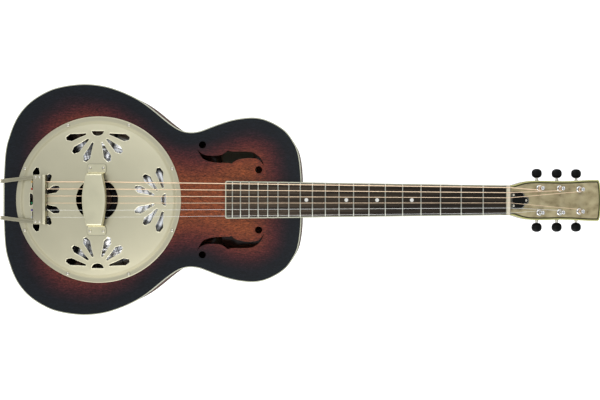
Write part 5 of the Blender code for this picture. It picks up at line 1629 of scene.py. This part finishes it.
def make_tuner_plate(side_name):
    spots = [post_spot(f"{side_name}_{number}") for number in (1, 2, 3)]
    side = spots[0][2]
    x0, x1 = spots[0][0] - 10 * MM, spots[-1][0] + 14 * MM
    outline = softened(rectangle(x0, 11 * MM, x1, 27 * MM), 3 * MM)
    outline = [(x, side * y) for x, y in outline]
    holes = [circle(x, y, 3.25 * MM, 28) for x, y, _ in spots]
    plate_under = PLATE_BACK - TUNER_PLATE
    shapes = [slab([outline, *holes], plate_under, PLATE_BACK, edge=0.25 * MM)]
    turns = [math.pi * (12 - k) / 12 for k in range(1, 12)]
    round_end = [(3.0 * math.cos(t), -1.6 - 2.9 * math.sin(t)) for t in turns]
    arch = in_mm([(-3.0, 0.6), (-3.0, -1.6), *round_end, (3.0, -1.6), (3.0, 0.6)])
    bore = circle(0, WORM_Z - plate_under, 1.5 * MM, 20)
    for x, y, _ in spots:
        for shift in (-5.6 * MM, 5.6 * MM):
            ear = slab([arch, bore], -1.0 * MM, 1.0 * MM, edge=0.2 * MM)
            upright = Matrix(((1, 0, 0, 0), (0, 0, 1, 0), (0, 1, 0, 0), (0, 0, 0, 1)))
            shapes.append(placed(ear, at(x + WORM_AHEAD, y + shift, plate_under) @ upright))
    plate = placed(joined(shapes), HEAD)
    keep(
        f"tuner_strip_{side_name}", plate, TUNER_METAL,
        replaces=(f"tuner_plate_{side_name}",), slot="nickel", sharp=35,
    )
    under = HEAD @ at(0, 0, plate_under) @ Matrix.Rotation(math.pi, 4, "X")
    between = [(one[0] + two[0]) / 2 + 2 * MM for one, two in zip(spots, spots[1:])]
    xs = (x0 + 3.2 * MM, *between, x1 - 3.2 * MM)
    places = [under @ at(x, -side * 14.2 * MM, 0) for x in xs]
    screws(f"strip_screws_{side_name}", places, 1.7 * MM, 0.9 * MM, CHROME, "chrome")


make_camera()
make_sky()
make_lights()
make_floor()
make_body()
make_label()
make_cone()
make_cover_plate()
make_hand_rest()
make_tailpiece()
make_strings()
make_fretboard()
make_nut()
make_neck()
make_tuners()

SLOT_FINISH = {
    "sunburst_lacquer": BURST_TOP,
    "mahogany": MAHOGANY,
    "spruce": SHADE_DARK_SPRUCE,
    "plywood": PLYWOOD,
    "cream_binding": CREAM,
    "nickel": NICKEL,
    "chrome": CHROME,
    "spun_aluminium": SPUN,
    "maple": MAPLE,
    "rosewood": ROSEWOOD,
    "bone": BONE,
    "pearloid": PEARLOID,
    "black_plastic": BLACK,
    "steel": STEEL,
    "wound_bronze": BRONZE,
}
NODE_FINISH = {
    "biscuit": SHADE_DARK_MAPLE,
    "saddle": SHADE_DARK_MAPLE,
    "neck": NECK_WOOD,
    "headstock_binding": HEAD_CREAM,
}
for entry in frame["record"]["subparts"]:
    node = nodes[entry["node"]]
    node.data.materials.clear()
    node.data.materials.append(NODE_FINISH.get(entry["node"], SLOT_FINISH[entry["material_slot"]]))
    node.data.shade_smooth()
    node.data.set_sharp_from_angle(angle=math.radians(32))
